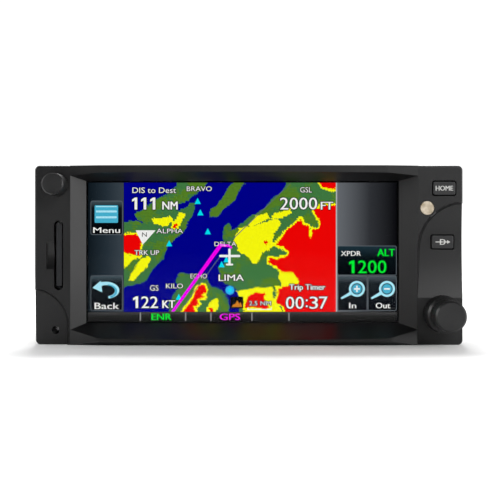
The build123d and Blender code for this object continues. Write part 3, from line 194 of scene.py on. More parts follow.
# printed board: solder mask over a maze of tracks
def boardFinish(name, look):
    material, tree, shader = newMaterial(name)
    vector = placed(tree)
    tracks = tree.nodes.new("ShaderNodeTexBrick")
    setInputs(tracks, {"Scale": look["tracks"], "Mortar Size": 0.03, "Color1": (*look["mask"], 1),
                       "Color2": (*look["maskDark"], 1), "Mortar": (*look["copper"], 1)})
    tree.links.new(vector, tracks.inputs["Vector"])
    tree.links.new(tracks.outputs["Color"], shader.inputs["Base Color"])
    tree.links.new(spread(tree, noiseOver(tree, vector, 90), 0.28, 0.42), shader.inputs["Roughness"])
    roughen(tree, shader, tracks.outputs["Fac"], 0.25, 0.00003)
    return material


def glassFinish(name, look):
    material, tree, shader = newMaterial(name)
    smear = noiseOver(tree, placed(tree, (1, 1, 2.5)), look["smear"], 3)
    tree.links.new(spread(tree, smear, look["rough"], look["rough"] + 0.03), shader.inputs["Roughness"])
    setInputs(shader, {"Base Color": (*look["tint"], 1), "Transmission Weight": 1.0,
                       "IOR": look["bend"]})
    return material


finishes = {
    "bezel_black": mouldedFinish("bezelBlack", {
        "dark": (0.0035, 0.0035, 0.0038), "light": (0.0065, 0.0065, 0.0068), "rough": 0.40,
        "mottle": 45, "grain": 2600, "bump": 0.35, "specular": 0.38}),
    "knob_black": mouldedFinish("knobBlack", {
        "dark": (0.004, 0.004, 0.0043), "light": (0.009, 0.009, 0.0093), "rough": 0.42,
        "mottle": 130, "grain": 3200, "bump": 0.3, "specular": 0.42}),
    "key_black": mouldedFinish("keyBlack", {
        "dark": (0.010, 0.010, 0.011), "light": (0.016, 0.016, 0.017), "rough": 0.42,
        "mottle": 110, "grain": 3000, "bump": 0.25, "specular": 0.4}),
    "encoder_grey": mouldedFinish("encoderGrey", {
        "dark": (0.02, 0.02, 0.022), "light": (0.035, 0.035, 0.038), "rough": 0.5,
        "grain": 1800, "bump": 0.2}),
    "seal_rubber": mouldedFinish("sealRubber", {
        "dark": (0.004, 0.004, 0.004), "light": (0.008, 0.008, 0.008), "rough": 0.85,
        "grain": 1500, "bump": 0.3, "specular": 0.2}),
    "screen": mouldedFinish("screenUnlit", {
        "dark": (0.001, 0.001, 0.0015), "light": (0.002, 0.002, 0.0025), "rough": 0.6,
        "grain": 900, "bump": 0.02, "specular": 0.1}),
    "light_guide": mouldedFinish("lightGuide", {
        "dark": (0.62, 0.64, 0.66), "light": (0.74, 0.75, 0.76), "rough": 0.35,
        "grain": 700, "bump": 0.1}),
    "switch_tan": mouldedFinish("switchTan", {
        "dark": (0.16, 0.12, 0.07), "light": (0.24, 0.19, 0.12), "rough": 0.5,
        "grain": 1400, "bump": 0.15}),
    "lens_cream": mouldedFinish("lensCream", {
        "dark": (0.36, 0.29, 0.19), "light": (0.66, 0.58, 0.46), "rough": 0.3,
        "mottle": 420, "grain": 1500, "bump": 0.1}),
    "sensor_black": mouldedFinish("sensorBlack", {
        "dark": (0.006, 0.006, 0.007), "light": (0.012, 0.012, 0.013), "rough": 0.25,
        "grain": 900, "bump": 0.05}),
    "card_plastic": mouldedFinish("cardPlastic", {
        "dark": (0.006, 0.007, 0.009), "light": (0.012, 0.014, 0.018), "rough": 0.5,
        "grain": 1700, "bump": 0.25}),
    "fan_plastic": mouldedFinish("fanPlastic", {
        "dark": (0.008, 0.008, 0.009), "light": (0.018, 0.018, 0.02), "rough": 0.45,
        "grain": 900, "bump": 0.25}),
    "component_black": mouldedFinish("componentBlack", {
        "dark": (0.008, 0.008, 0.010), "light": (0.02, 0.02, 0.024), "rough": 0.35,
        "grain": 1200, "bump": 0.15}),
    "flex_amber": mouldedFinish("flexAmber", {
        "dark": (0.25, 0.09, 0.012), "light": (0.36, 0.15, 0.025), "rough": 0.3,
        "grain": 500, "bump": 0.1}),
    "lead_black": mouldedFinish("leadBlack", {
        "dark": (0.006, 0.006, 0.006), "light": (0.014, 0.014, 0.014), "rough": 0.6,
        "grain": 1100, "bump": 0.25}),
    "heatsink_black": mouldedFinish("heatsinkBlack", {
        "dark": (0.008, 0.008, 0.009), "light": (0.018, 0.018, 0.02), "rough": 0.42,
        "mottle": 80, "grain": 1500, "bump": 0.2, "specular": 0.7}),
    "case_aluminium": metalFinish("caseAluminium", {
        "dark": (0.40, 0.385, 0.34), "light": (0.50, 0.49, 0.45), "rough": 0.42,
        "stretch": (40, 1.2, 40), "streak": 30, "cloud": 14, "bump": 0.15}),
    "plated_steel": metalFinish("platedSteel", {
        "dark": (0.42, 0.43, 0.46), "light": (0.58, 0.58, 0.60), "rough": 0.34,
        "stretch": (20, 1, 20), "streak": 40, "bump": 0.12}),
    "reader_steel": metalFinish("readerSteel", {
        "dark": (0.46, 0.46, 0.46), "light": (0.6, 0.6, 0.6), "rough": 0.3,
        "stretch": (1, 20, 20), "streak": 40, "bump": 0.1}),
    "screw_steel": metalFinish("screwSteel", {
        "dark": (0.34, 0.34, 0.36), "light": (0.52, 0.52, 0.54), "rough": 0.28,
        "stretch": (6, 6, 6), "streak": 120, "cloud": 300, "bump": 0.12}),
    "shaft_steel": metalFinish("shaftSteel", {
        "dark": (0.44, 0.44, 0.45), "light": (0.6, 0.6, 0.61), "rough": 0.22,
        "stretch": (1, 60, 1), "streak": 30, "bump": 0.1}),
    "lock_brass": metalFinish("lockBrass", {
        "dark": (0.50, 0.34, 0.12), "light": (0.66, 0.48, 0.2), "rough": 0.28,
        "stretch": (1, 50, 1), "streak": 30, "bump": 0.1}),
    "connector_steel": metalFinish("connectorNickel", {
        "dark": (0.5, 0.48, 0.43), "light": (0.64, 0.62, 0.56), "rough": 0.26,
        "stretch": (1, 12, 12), "streak": 50, "bump": 0.1}),
    "socket_nickel": metalFinish("socketNickel", {
        "dark": (0.56, 0.53, 0.47), "light": (0.7, 0.68, 0.62), "rough": 0.2,
        "stretch": (1, 40, 1), "streak": 30, "bump": 0.08}),
    "guard_wire": metalFinish("guardWire", {
        "dark": (0.5, 0.5, 0.52), "light": (0.68, 0.68, 0.7), "rough": 0.2,
        "stretch": (5, 5, 5), "streak": 90, "bump": 0.05}),
    "shield_tin": metalFinish("shieldTin", {
        "dark": (0.5, 0.51, 0.53), "light": (0.66, 0.67, 0.68), "rough": 0.36,
        "stretch": (20, 1, 20), "streak": 24, "bump": 0.12}),
    "plate_silver": metalFinish("plateSilver", {
        "dark": (0.6, 0.61, 0.62), "light": (0.74, 0.75, 0.76), "rough": 0.42,
        "stretch": (1, 30, 1), "streak": 60, "bump": 0.08}),
    "circuit_green": boardFinish("circuitGreen", {
        "mask": (0.006, 0.055, 0.022), "maskDark": (0.005, 0.045, 0.018), "copper": (0.02, 0.11, 0.045),
        "tracks": 180}),
    "cover_glass": glassFinish("coverGlass", {
        "tint": (0.97, 0.98, 0.98), "smear": 40, "rough": 0.02, "bend": 1.12}),
}
for part in frame["record"]["subparts"]:
    mesh = nodes[part["node"]].data
    mesh.materials.clear()
    mesh.materials.append(finishes[part["material_slot"]])
print("finishes on the solid parts")


# ---- helpers for pieces
def meshPiece(name, mesh, material, body):
    data = bpy.data.meshes.new(name)
    mesh.to_mesh(data)
    mesh.free()
    piece = bpy.data.objects.new(name, data)
    scene.collection.objects.link(piece)
    data.materials.append(material)
    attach(piece, body)
    return piece


# closed slab from a flat outline; place(u, v, depth) gives its corners, outline anticlockwise from the front
def addSlab(mesh, outline, place, near, far):
    front = [mesh.verts.new(place(u, v, near)) for u, v in outline]
    back = [mesh.verts.new(place(u, v, far)) for u, v in outline]
    count = len(outline)
    mesh.faces.new(front)
    mesh.faces.new(back[::-1])
    for i in range(count):
        j = (i + 1) % count
        mesh.faces.new((front[j], front[i], back[i], back[j]))


def roundedOutline(left, right, foot, top, radius=0.0, steps=4):
    if radius <= 0:
        return [(left, foot), (right, foot), (right, top), (left, top)]
    points = []
    for cx, cz, start in ((right - radius, foot + radius, -90), (right - radius, top - radius, 0),
                          (left + radius, top - radius, 90), (left + radius, foot + radius, 180)):
        for i in range(steps + 1):
            turn = radians(start + 90 * i / steps)
            points.append((cx + radius * cos(turn), cz + radius * sin(turn)))
    return points


def ringOutline(cx, cz, radius, steps=32):
    return [(cx + radius * cos(2 * pi * i / steps), cz + radius * sin(2 * pi * i / steps))
            for i in range(steps)]


# a line of letters as flat triangles, scaled to fill a one by one box
letterShapes = {}


def letterShape(text):
    if text in letterShapes:
        return letterShapes[text]
    if text == "1":
        letterShapes[text] = (
            [(0.42, 0), (0.72, 0), (0.72, 1), (0.46, 1), (0.1, 0.84), (0.1, 0.66), (0.42, 0.78)],
            [(0, 1, 2, 3), (0, 3, 6), (6, 3, 4, 5)])
        return letterShapes[text]
    curve = bpy.data.curves.new("letters", "FONT")
    curve.body = text
    curve.resolution_u = 3
    holder = bpy.data.objects.new("letters", curve)
    scene.collection.objects.link(holder)
    bpy.context.view_layer.update()
    shape = bpy.data.meshes.new_from_object(holder.evaluated_get(bpy.context.evaluated_depsgraph_get()))
    bpy.data.objects.remove(holder)
    bpy.data.curves.remove(curve)
    xs = [v.co.x for v in shape.vertices]
    ys = [v.co.y for v in shape.vertices]
    points = [((x - min(xs)) / (max(xs) - min(xs)), (y - min(ys)) / (max(ys) - min(ys)))
              for x, y in zip(xs, ys)]
    letterShapes[text] = (points, [tuple(f.vertices) for f in shape.polygons])
    bpy.data.meshes.remove(shape)
    return letterShapes[text]


# letters in a box (left, right, foot, top) as closed slabs, with copies nudged aside to fatten them
def addWords(mesh, text, box, place, near, far, nudges=((0, 0),)):
    left, right, foot, top = box
    cells = [(text, left, right)]
    if text.isdigit():
        pitch = (right - left) / len(text)
        cells = [(c, left + (i + 0.07) * pitch, left + (i + 0.93) * pitch) for i, c in enumerate(text)]
    for letters, start, end in cells:
        points, faces = letterShape(letters)
        for du, dv in nudges:
            flat = [(start + du + u * (end - start), foot + dv + v * (top - foot)) for u, v in points]
            front = [mesh.verts.new(place(u, v, near)) for u, v in flat]
            back = [mesh.verts.new(place(u, v, far)) for u, v in flat]
            edges = {}
            for face in faces:
                mesh.faces.new([front[i] for i in face])
                mesh.faces.new([back[i] for i in reversed(face)])
                for i, j in zip(face, face[1:] + face[:1]):
                    edges[(i, j)] = True
            for i, j in edges:
                if (j, i) not in edges:
                    mesh.faces.new((front[j], front[i], back[i], back[j]))


# ---- the lit screen: millimetres from its lower left corner, thin layers on the panel's face
screen = {"width": 115.9, "height": 52.1, "layer": 0.000016}
panelLow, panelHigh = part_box("lcd_panel")
screenLeft = (panelLow.x + panelHigh.x) / 2 - screen["width"] / 2000
screenFoot = (panelLow.z + panelHigh.z) / 2 - screen["height"] / 2000


def onScreen(x, z, layer):
    return Vector((screenLeft + x / 1000, panelLow.y - layer * screen["layer"], screenFoot + z / 1000))


# glowing ink with a faint dot grid in it
def glowFinish(name, colour, strength=1.0, vary=0.06):
    material, tree, shader = newMaterial(name)
    dots = noiseOver(tree, placed(tree), 1600, 1)
    dark = tuple(c * (1 - vary) for c in colour)
    light = tuple(min(c * (1 + vary), 1.0) for c in colour)
    tree.links.new(twoTone(tree, dots, dark, light, 0.3, 0.7), shader.inputs["Emission Color"])
    setInputs(shader, {"Base Color": (0, 0, 0, 1), "Specular IOR Level": 0.0, "Roughness": 0.9,
                       "Emission Strength": strength})
    return material


# glow that fades along X or Z between places given in screen millimetres
def fadeFinish(name, axis, start, end, stops):
    material, tree, shader = newMaterial(name)
    coords = tree.nodes.new("ShaderNodeTexCoord")
    split = tree.nodes.new("ShaderNodeSeparateXYZ")
    tree.links.new(coords.outputs["Object"], split.inputs["Vector"])
    span = tree.nodes.new("ShaderNodeMapRange")
    base = screenLeft if axis == "X" else screenFoot
    setInputs(span, {"From Min": base + start / 1000, "From Max": base + end / 1000})
    tree.links.new(split.outputs[axis], span.inputs["Value"])
    ramp = tree.nodes.new("ShaderNodeValToRGB")
    while len(ramp.color_ramp.elements) < len(stops):
        ramp.color_ramp.elements.new(0.5)
    for element, (position, colour) in zip(ramp.color_ramp.elements, stops):
        element.position = position
        element.color = (*colour, 1)
    tree.links.new(span.outputs["Result"], ramp.inputs["Fac"])
    tree.links.new(ramp.outputs["Color"], shader.inputs["Emission Color"])
    setInputs(shader, {"Base Color": (0, 0, 0, 1), "Specular IOR Level": 0.0, "Roughness": 0.9,
                       "Emission Strength": 1.0})
    return material


inkColours = {
    "white": (0.86, 0.86, 0.84),
    "grey": (0.42, 0.44, 0.45),
    "lineGrey": (0.11, 0.13, 0.15),
    "separator": (0.25, 0.25, 0.25),
    "deepBlue": (0.012, 0.075, 0.11),
    "black": (0.0016, 0.0016, 0.003),
    "cyan": (0.0, 0.72, 0.86),
    "iconBlue": (0.06, 0.42, 0.60),
    "iconPale": (0.40, 0.78, 0.90),
    "green": (0.0, 0.82, 0.03),
    "magenta": (0.84, 0.0, 0.84),
    "beacon": (0.02, 0.42, 0.86),
    "amber": (0.62, 0.20, 0.01),
}
inks = {}


def ink(name):
    if name not in inks:
        inks[name] = bmesh.new()
    return inks[name]


def plate(colour, outline, layer):
    addSlab(ink(colour), outline, onScreen, layer + 0.8, layer)


def words(colour, text, box, layer, bold=0.0, edge=0.0):
    nudges = ((-bold / 2, 0), (bold / 2, 0)) if bold else ((0, 0),)
    addWords(ink(colour), text, box, onScreen, layer + 0.8, layer, nudges)
    if edge:
        round8 = [(edge * cos(i * pi / 4) * 1.15, edge * sin(i * pi / 4)) for i in range(8)]
        addWords(ink("black"), text, box, onScreen, layer - 0.2, layer - 1, round8)


# terrain map: outlines listed in screen millimetres, with wavy edges
terrain = {
    "left": 13.4, "right": 93.0, "foot": 3.6, "top": 52.1, "cell": 0.36,
    "wave": 0.6, "rim": 0.8, "ragged": 0.45,
    "land": [
        [(12, 38), (15, 37.4), (20.5, 36.9), (17.5, 40), (20, 42.2), (27, 46.2), (33, 51), (34, 54), (46, 54),
         (44, 50), (40, 47.4), (33, 43.2), (34, 42), (40.3, 45), (39.6, 40), (37, 36), (34, 32), (29.6, 27.4),
         (28, 23.6), (24.4, 19.4), (22.4, 15.8), (15, 12.8), (12, 11.5)],
        [(46, 39.6), (48.6, 39.2), (55, 46.4), (60.5, 54), (55.5, 54), (51.5, 48), (45.8, 41.8)],
        [(31, 2), (30, 7), (32, 11), (34, 13), (33.2, 15.2), (34.4, 17.6), (40.8, 18.6), (44.4, 16),
         (46.4, 13.4), (49.6, 12.4), (51.8, 9), (53, 5.6), (53, 2)],
        [(75, 54), (72, 48), (66, 43), (62.5, 40), (57, 37), (55.6, 35.4), (53.6, 34), (52.8, 37),
         (51.4, 35.6), (50.6, 31), (54, 27), (52, 22.5), (48.6, 20), (50, 16), (55.5, 12), (57.5, 8),
         (56, 2), (95, 2), (95, 54)],
    ],
    "scrub": [
        [(45, 38), (50, 38), (62, 54), (53, 54), (44, 42)],
        [(34, 47), (40, 47.4), (46, 52), (40, 54)],
        [(18, 39.4), (24, 40.4), (32, 45), (28, 46), (20, 42)],
        [(62, 40), (66, 41), (76, 47), (76, 52), (70, 46)],
        [(26, 22), (29, 26), (36, 34), (33, 33), (25, 25)],
        [(49, 11), (53, 4), (51, 4), (46, 12)],
    ],
    "high": [
        [(23.5, 38.8), (26, 38.2), (31.2, 39.6), (31.6, 37.6), (28.6, 36.2), (25, 36.9)],
        [(31.8, 35), (33.4, 35.2), (36.2, 40), (34.2, 40.6)],
        [(12, 25), (19, 24.6), (16, 22.4), (13, 20)],
        [(15.4, 15.4), (17.2, 15), (20.4, 18.4), (23.8, 23.8), (22.4, 24.8), (18.4, 21.2), (15.6, 17.4)],
        [(60.6, 36.4), (62.2, 35.8), (67.6, 39), (67, 40.6), (63, 39.4)],
        [(69, 39), (73, 39.2), (76.2, 40.6), (75.4, 42), (70, 40.6)],
        [(54.2, 30.8), (57.2, 34.4), (61, 36), (66, 36.8), (70, 38), (72.2, 36.8), (70.4, 33), (68.8, 28.4),
         (65.6, 25.6), (63.4, 22.2), (62, 22), (61, 24), (58, 25.4), (56, 26.6)],
        [(45.6, 7.2), (48, 8), (49.2, 6), (47.4, 2.6), (44.6, 2.6)],
        [(55.2, 11.4), (61, 11.9), (69, 12.6), (69.6, 9), (71, 6.8), (73.6, 2), (58, 2), (58, 8)],
        [(72.2, 18.4), (76.4, 17.6), (79.4, 14.4), (73, 13.6), (71.8, 15.6)],
    ],
    "danger": [
        [(10, 25.4), (19, 25.2), (19.8, 30.6), (18, 33), (14, 32.6), (10, 31.4)],
        [(32, 35.2), (33.2, 35.2), (33.4, 36.4), (32.4, 36.4)],
        [(34.6, 2), (38.6, 8), (41.4, 12.6), (42.8, 13.4), (43.9, 12.6), (44, 11), (42.3, 10.2), (43.6, 8.8),
         (40.7, 8), (41.4, 6.6), (39.8, 5.6), (40.6, 2)],
        [(45.6, 2), (45.8, 4.8), (47, 5), (47.4, 2)],
        [(70.2, 29.2), (72.6, 31.4), (73.6, 33.4), (78, 36.4), (80, 38), (80.8, 36), (83, 36.2), (83.4, 31.6),
         (84, 35.2), (86.6, 34.2), (87, 36.6), (85.4, 40), (84.6, 42.2), (87, 43.2), (95, 44), (95, 2),
         (73.4, 2), (73.4, 5.4), (71, 7.2), (70.6, 9), (71, 12.4), (73, 13.2), (79.4, 13.6), (79.6, 15),
         (76.8, 18.2), (72.4, 19), (70.6, 20.6), (68, 22.2), (68.2, 23.6), (73, 24.4), (75.4, 25.2),
         (75, 26.2), (72, 28)],
        [(85, 54), (88, 50.6), (95, 49.6), (95, 54)],
        [(59, 5), (59.4, 9), (61, 10.6), (63.6, 10.9), (65.8, 10.2), (66, 8), (67.6, 5)],
        [(65.8, 29.2), (67, 29), (67, 30), (66.2, 30.2)],
    ],
}


# distance inside an outline, positive within, over a whole grid at once
def insideBy(outline, x, z):
    nearest = np.full(x.shape, 1e9)
    odd = np.zeros(x.shape, bool)
    for (ax, az), (bx, bz) in zip(outline, outline[1:] + outline[:1]):
        dx, dz = bx - ax, bz - az
        share = np.clip(((x - ax) * dx + (z - az) * dz) / (dx * dx + dz * dz), 0, 1)
        nearest = np.minimum(nearest, np.hypot(x - ax - share * dx, z - az - share * dz))
        if az != bz:
            odd ^= ((az > z) != (bz > z)) & (x < ax + (z - az) / dz * dx)
    return np.where(odd, nearest, -nearest)


def waves(x, z, amount, seed):
    total = np.zeros(x.shape)
    for i in range(9):
        turn = 2.4 * i + seed
        pace = 0.55 * 1.32 ** i
        total += np.sin(pace * (x * cos(turn) + z * sin(turn)) + 1.7 * i * seed) / (1 + 0.55 * i)
    ragged = np.sin(x * 91.7 + z * 47.3 + seed) * np.sin(x * 23.1 - z * 67.9 + 2 * seed)
    return amount * (total / 2 + terrain["ragged"] * ragged)


columnCount = int((terrain["right"] - terrain["left"]) / terrain["cell"])
rowCount = int((terrain["top"] - terrain["foot"]) / terrain["cell"])
cellWide = (terrain["right"] - terrain["left"]) / columnCount
cellHigh = (terrain["top"] - terrain["foot"]) / rowCount
midX, midZ = np.meshgrid(
    terrain["left"] + (np.arange(columnCount) + 0.5) * cellWide,
    terrain["foot"] + (np.arange(rowCount) + 0.5) * cellHigh)


def region(outlines, seed):
    depth = np.max([insideBy(o, midX, midZ) for o in outlines], axis=0)
    return depth + waves(midX, midZ, terrain["wave"], seed)


landDepth = region(terrain["land"], 0.7)
highDepth = region(terrain["high"], 1.9)
dangerDepth = region(terrain["danger"], 3.1)
scrub = waves(midX, midZ, 1.0, 5.3)
kinds = np.zeros(midX.shape, int)
kinds[landDepth > 0] = 1
kinds[(landDepth > 0) & ((scrub > 0.42) | (region(terrain["scrub"], 4.1) > 0))] = 2
kinds[(landDepth > 0) & (highDepth > 0)] = 3
kinds[(landDepth > 0) & (dangerDepth > -terrain["rim"])] = 3
kinds[(landDepth > 0) & (dangerDepth > 0)] = 4
mapMesh = bpy.data.meshes.new("terrain_map")
corners = [onScreen(terrain["left"] + i * cellWide, terrain["foot"] + j * cellHigh, 1)
           for j in range(rowCount + 1) for i in range(columnCount + 1)]
stride = columnCount + 1
quads = [(j * stride + i, j * stride + i + 1, (j + 1) * stride + i + 1, (j + 1) * stride + i)
         for j in range(rowCount) for i in range(columnCount)]
# a back face and four long side faces close the sheet
backCorners = len(corners)
sheetCorners = ((terrain["left"], terrain["foot"]), (terrain["right"], terrain["foot"]),
                (terrain["right"], terrain["top"]), (terrain["left"], terrain["top"]))
corners += [onScreen(x, z, 0.2) for x, z in sheetCorners]
b0, b1, b2, b3 = range(backCorners, backCorners + 4)
topRow = rowCount * stride
quads += [(b3, b2, b1, b0),
          (*range(columnCount, -1, -1), b0, b1),
          (*range(topRow, topRow + stride), b2, b3),
          (*range(0, topRow + 1, stride), b3, b0),
          (*range(topRow + columnCount, columnCount - 1, -stride), b1, b2)]
mapMesh.from_pydata(corners, [], quads)
for colour in (
    glowFinish("mapWater", (0.0, 0.0, 0.245), vary=0.05),
    glowFinish("mapForest", (0.048, 0.180, 0.050), vary=0.10),
    glowFinish("mapScrub", (0.085, 0.205, 0.018), vary=0.14),
    glowFinish("mapHigh", (0.93, 0.92, 0.004), vary=0.08),
    glowFinish("mapDanger", (0.84, 0.001, 0.001), vary=0.06),
):
    mapMesh.materials.append(colour)
mapMesh.polygons.foreach_set("material_index", [*kinds.ravel(), 0, 0, 0, 0, 0])
mapMesh.update()
mapPiece = bpy.data.objects.new("terrain_map", mapMesh)
scene.collection.objects.link(mapPiece)
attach(mapPiece, "case")
print("terrain map", columnCount, "by", rowCount)

# side bars, buttons and boxes
buttonFade = [(0, (0.0, 0.0, 0.001)), (0.8, (0.004, 0.007, 0.010)), (1, (0.05, 0.075, 0.09))]
zoomFade = [(0, (0.0, 0.0, 0.001)), (0.8, (0.006, 0.010, 0.014)), (1, (0.06, 0.08, 0.095))]
panels = [
    ("leftBar", (0.0, 13.3, 3.6, 52.1), 0.0, 1, "X",
     [(0, (0.004, 0.008, 0.012)), (0.5, (0.016, 0.026, 0.036)), (1, (0.040, 0.054, 0.068))]),
    ("rightBar", (93.5, 115.9, 3.6, 52.1), 0.0, 1, "X",
     [(0, (0.13, 0.14, 0.155)), (0.55, (0.028, 0.03, 0.035)), (1, (0.002, 0.002, 0.003))]),
    ("footBar", (0.0, 115.9, 0.0, 3.4), 0.0, 1, "Z",
     [(0, (0.003, 0.003, 0.003)), (0.6, (0.012, 0.012, 0.012)), (1, (0.05, 0.05, 0.05))]),
    ("menuFace", (1.1, 12.7, 32.7, 45.1), 0.6, 3, "Z", buttonFade),
    ("backFace", (1.1, 12.7, 4.2, 17.0), 0.6, 3, "Z", buttonFade),
    ("codeFace", (93.7, 115.6, 17.5, 28.2), 0.5, 3, "Z",
     [(0, (0.0, 0.0, 0.001)), (0.6, (0.001, 0.004, 0.006)), (1, (0.012, 0.030, 0.042))]),
    ("zoomInFace", (93.9, 104.6, 4.2, 16.9), 0.5, 3, "Z", zoomFade),
    ("zoomOutFace", (105.2, 115.6, 4.2, 16.9), 0.5, 3, "Z", zoomFade),
]
for name, (left, right, foot, top), radius, layer, axis, stops in panels:
    start, end = (left, right) if axis == "X" else (foot, top)
    slab = bmesh.new()
    addSlab(slab, roundedOutline(left, right, foot, top, radius), onScreen, layer + 0.8, layer)
    meshPiece("screen_" + name, slab, fadeFinish(name, axis, start, end, stops), "case")
    if radius:
        plate("lineGrey", roundedOutline(left - 0.22, right + 0.22, foot - 0.22, top + 0.22, radius + 0.2), 2)
plate("grey", roundedOutline(93.0, 93.5, 3.6, 52.1), 2)
for x in (19.4, 36.4, 45.9, 61.3, 75.2):
    plate("separator", roundedOutline(x - 0.05, x + 0.4, 0.2, 3.4), 2)

# menu icon: a list with two bright bars
plate("iconBlue", roundedOutline(2.4, 11.2, 37.0, 43.6, 0.4), 4)
for z in (38.7, 40.9):
    plate("iconPale", roundedOutline(2.9, 10.7, z, z + 0.75, 0.2), 5)
plate("iconPale", roundedOutline(2.9, 10.7, 42.9, 43.3, 0.15), 5)
words("white", "Menu", (1.9, 11.9, 33.2, 35.3), 4, 0.1)


# back icon: a sweeping arc that widens to its tail, with an arrow head
def arcBand(cx, cz, radius, wide, flat, start, end, thinStart, thinEnd, steps=18):
    outer, inner = [], []
    for i in range(steps + 1):
        share = i / steps
        turn = radians(start + (end - start) * share)
        half = (thinStart + (thinEnd - thinStart) * share) / 2
        outer.append((cx + (radius + half) * wide * cos(turn), cz + (radius + half) * flat * sin(turn)))
        inner.append((cx + (radius - half) * wide * cos(turn), cz + (radius - half) * flat * sin(turn)))
    return outer + inner[::-1]


plate("iconPale", arcBand(6.7, 11.6, 3.7, 1.12, 0.72, -78, 128, 1.2, 1.9), 4)
plate("iconPale", [(1.6, 12.6), (5.3, 10.9), (4.7, 15.3)], 4)
plate("iconBlue", arcBand(6.7, 11.3, 3.5, 1.08, 0.70, -66, 80, 0.9, 0.6), 5)
words("white", "Back", (2.4, 11.6, 4.6, 7.0), 4, 0.1)

# zoom icons: lens, handle and sign
for cx, sign in ((100.9, "plus"), (112.2, "minus")):
    plate("iconPale", ringOutline(cx, 12.2, 3.0), 4)
    plate("deepBlue", ringOutline(cx, 12.2, 2.15), 5)
    plate("iconBlue", ringOutline(cx, 12.2, 1.75), 5.2)
    plate("iconPale", [(cx - 6.1, 8.9), (cx - 5.7, 8.3), (cx - 1.9, 10.1), (cx - 2.5, 11.2)], 4)
    plate("white", roundedOutline(cx - 1.1, cx + 1.1, 11.9, 12.5), 6)
    if sign == "plus":
        plate("white", roundedOutline(cx - 0.3, cx + 0.3, 12.6, 13.4), 6)
        plate("white", roundedOutline(cx - 0.3, cx + 0.3, 11.0, 11.8), 6)
words("white", "In", (98.0, 100.6, 4.9, 7.0), 4, 0.1)
words("white", "Out", (108.0, 113.4, 4.9, 7.0), 4, 0.1)

# readouts over the map, with dark edges: text, box, how much bolder
readouts = [
    ("DIS to Dest", (16.6, 33.0, 48.2, 50.3), 0.0), ("111", (16.0, 26.2, 42.0, 46.5), 0.12),
    ("NM", (27.9, 33.5, 42.0, 45.0), 0.22),
    ("GSL", (79.6, 84.0, 48.4, 50.4), 0.0), ("2000", (71.8, 86.2, 42.0, 46.5), 0.12),
    ("FT", (87.4, 91.9, 42.0, 44.9), 0.22),
    ("GS", (23.2, 26.4, 11.5, 13.6), 0.0), ("122", (16.4, 26.4, 5.0, 9.4), 0.12),
    ("KT", (27.9, 32.6, 5.0, 7.9), 0.22),
    ("Trip Timer", (75.6, 89.0, 11.2, 13.9), 0.15), ("00", (74.0, 81.2, 4.7, 9.3), 0.12),
    (":", (81.7, 82.4, 5.3, 8.3), 0.1),
    ("37", (82.9, 90.1, 4.7, 9.3), 0.12),
    ("TRK UP", (17.4, 26.6, 24.9, 26.7), 0.05),
    ("BRAVO", (37.0, 46.4, 48.9, 50.7), 0.0), ("ALPHA", (25.6, 35.6, 33.1, 34.8), 0.0),
    ("DELTA", (47.4, 55.6, 28.3, 29.9), 0.0), ("ECHO", (38.4, 44.6, 16.1, 17.9), 0.0),
    ("KILO", (29.2, 35.6, 12.4, 14.2), 0.0), ("LIMA", (49.0, 58.4, 15.2, 17.6), 0.12),
    ("2.5 NM", (60.4, 68.6, 6.0, 7.6), 0.0),
]
for text, box, bold in readouts:
    words("white", text, box, 5, bold, 0.32 if box[3] - box[2] > 2.6 or bold > 0.1 else 0.24)
words("white", "XPDR", (94.9, 102.4, 24.6, 26.4), 4, 0.08)
words("green", "ALT", (108.6, 115.1, 24.5, 27.2), 4, 0.2)
words("green", "1200", (97.4, 112.2, 18.1, 22.9), 4, 0.12)
words("green", "ENR", (23.8, 31.2, 0.5, 2.9), 3, 0.15)
words("magenta", "GPS", (49.4, 57.0, 0.5, 2.9), 3, 0.15)

# symbols on the map
for x, z in ((41.1, 45.2), (42.1, 40.9), (44.9, 33.8), (30.4, 29.3), (50.1, 21.4), (51.9, 23.3), (34.0, 9.2)):
    plate("cyan", [(x - 1.15, z - 1.1), (x + 1.15, z - 1.1), (x, z + 1.2)], 4)
plate("white", [(17.8, 34.2), (20.5, 28.8), (25.3, 34.2)], 4)
addWords(ink("black"), "N", (20.2, 22.0, 31.8, 33.4), onScreen, 5.8, 5)
plate("magenta", [(31.1, 3.7), (32.4, 3.7), (50.3, 28.2), (49.8, 29.2), (49.0, 28.9)], 5)
plate("magenta", [(49.4, 29.1), (50.0, 28.1), (52.8, 27.9), (53.8, 27.2), (54.2, 27.8), (52.8, 28.9)], 5)
plate("lineGrey", [(34.2, 3.7), (34.5, 3.7), (50.3, 25.2), (50.1, 25.4)], 4)
plate("lineGrey", [(54.3, 31.1), (54.55, 30.9), (76.2, 52.0), (75.9, 52.0)], 4)
for bar in ((49.2, 57.1, 24.1, 25.0, 0.4), (52.6, 53.5, 21.0, 27.4, 0.4), (51.7, 54.4, 21.0, 21.7, 0.3)):
    plate("white", roundedOutline(*bar), 7)
plate("beacon", ringOutline(53.2, 11.7, 1.75, 8), 4)
plate("cyan", ringOutline(53.2, 11.7, 0.75, 16), 5)
plate("black", roundedOutline(53.3, 58.2, 4.8, 9.3, 0.2), 4)
plate("amber", [(53.9, 5.4), (57.8, 5.4), (57.2, 7.4), (56.9, 6.4), (55.9, 7.9), (55.2, 6.5), (54.4, 6.3)], 5)
plate("white", roundedOutline(59.8, 68.9, 4.3, 4.7), 5)
for x in (59.8, 68.6):
    plate("white", roundedOutline(x, x + 0.3, 4.3, 5.3), 5)
for name, mesh in inks.items():
    vary = 0.5 if name == "black" else 0.06
    inkFinish = glowFinish("ink_" + name, inkColours[name], vary=vary)
    meshPiece("screen_ink_" + name, mesh, inkFinish, "case")
print("screen page")
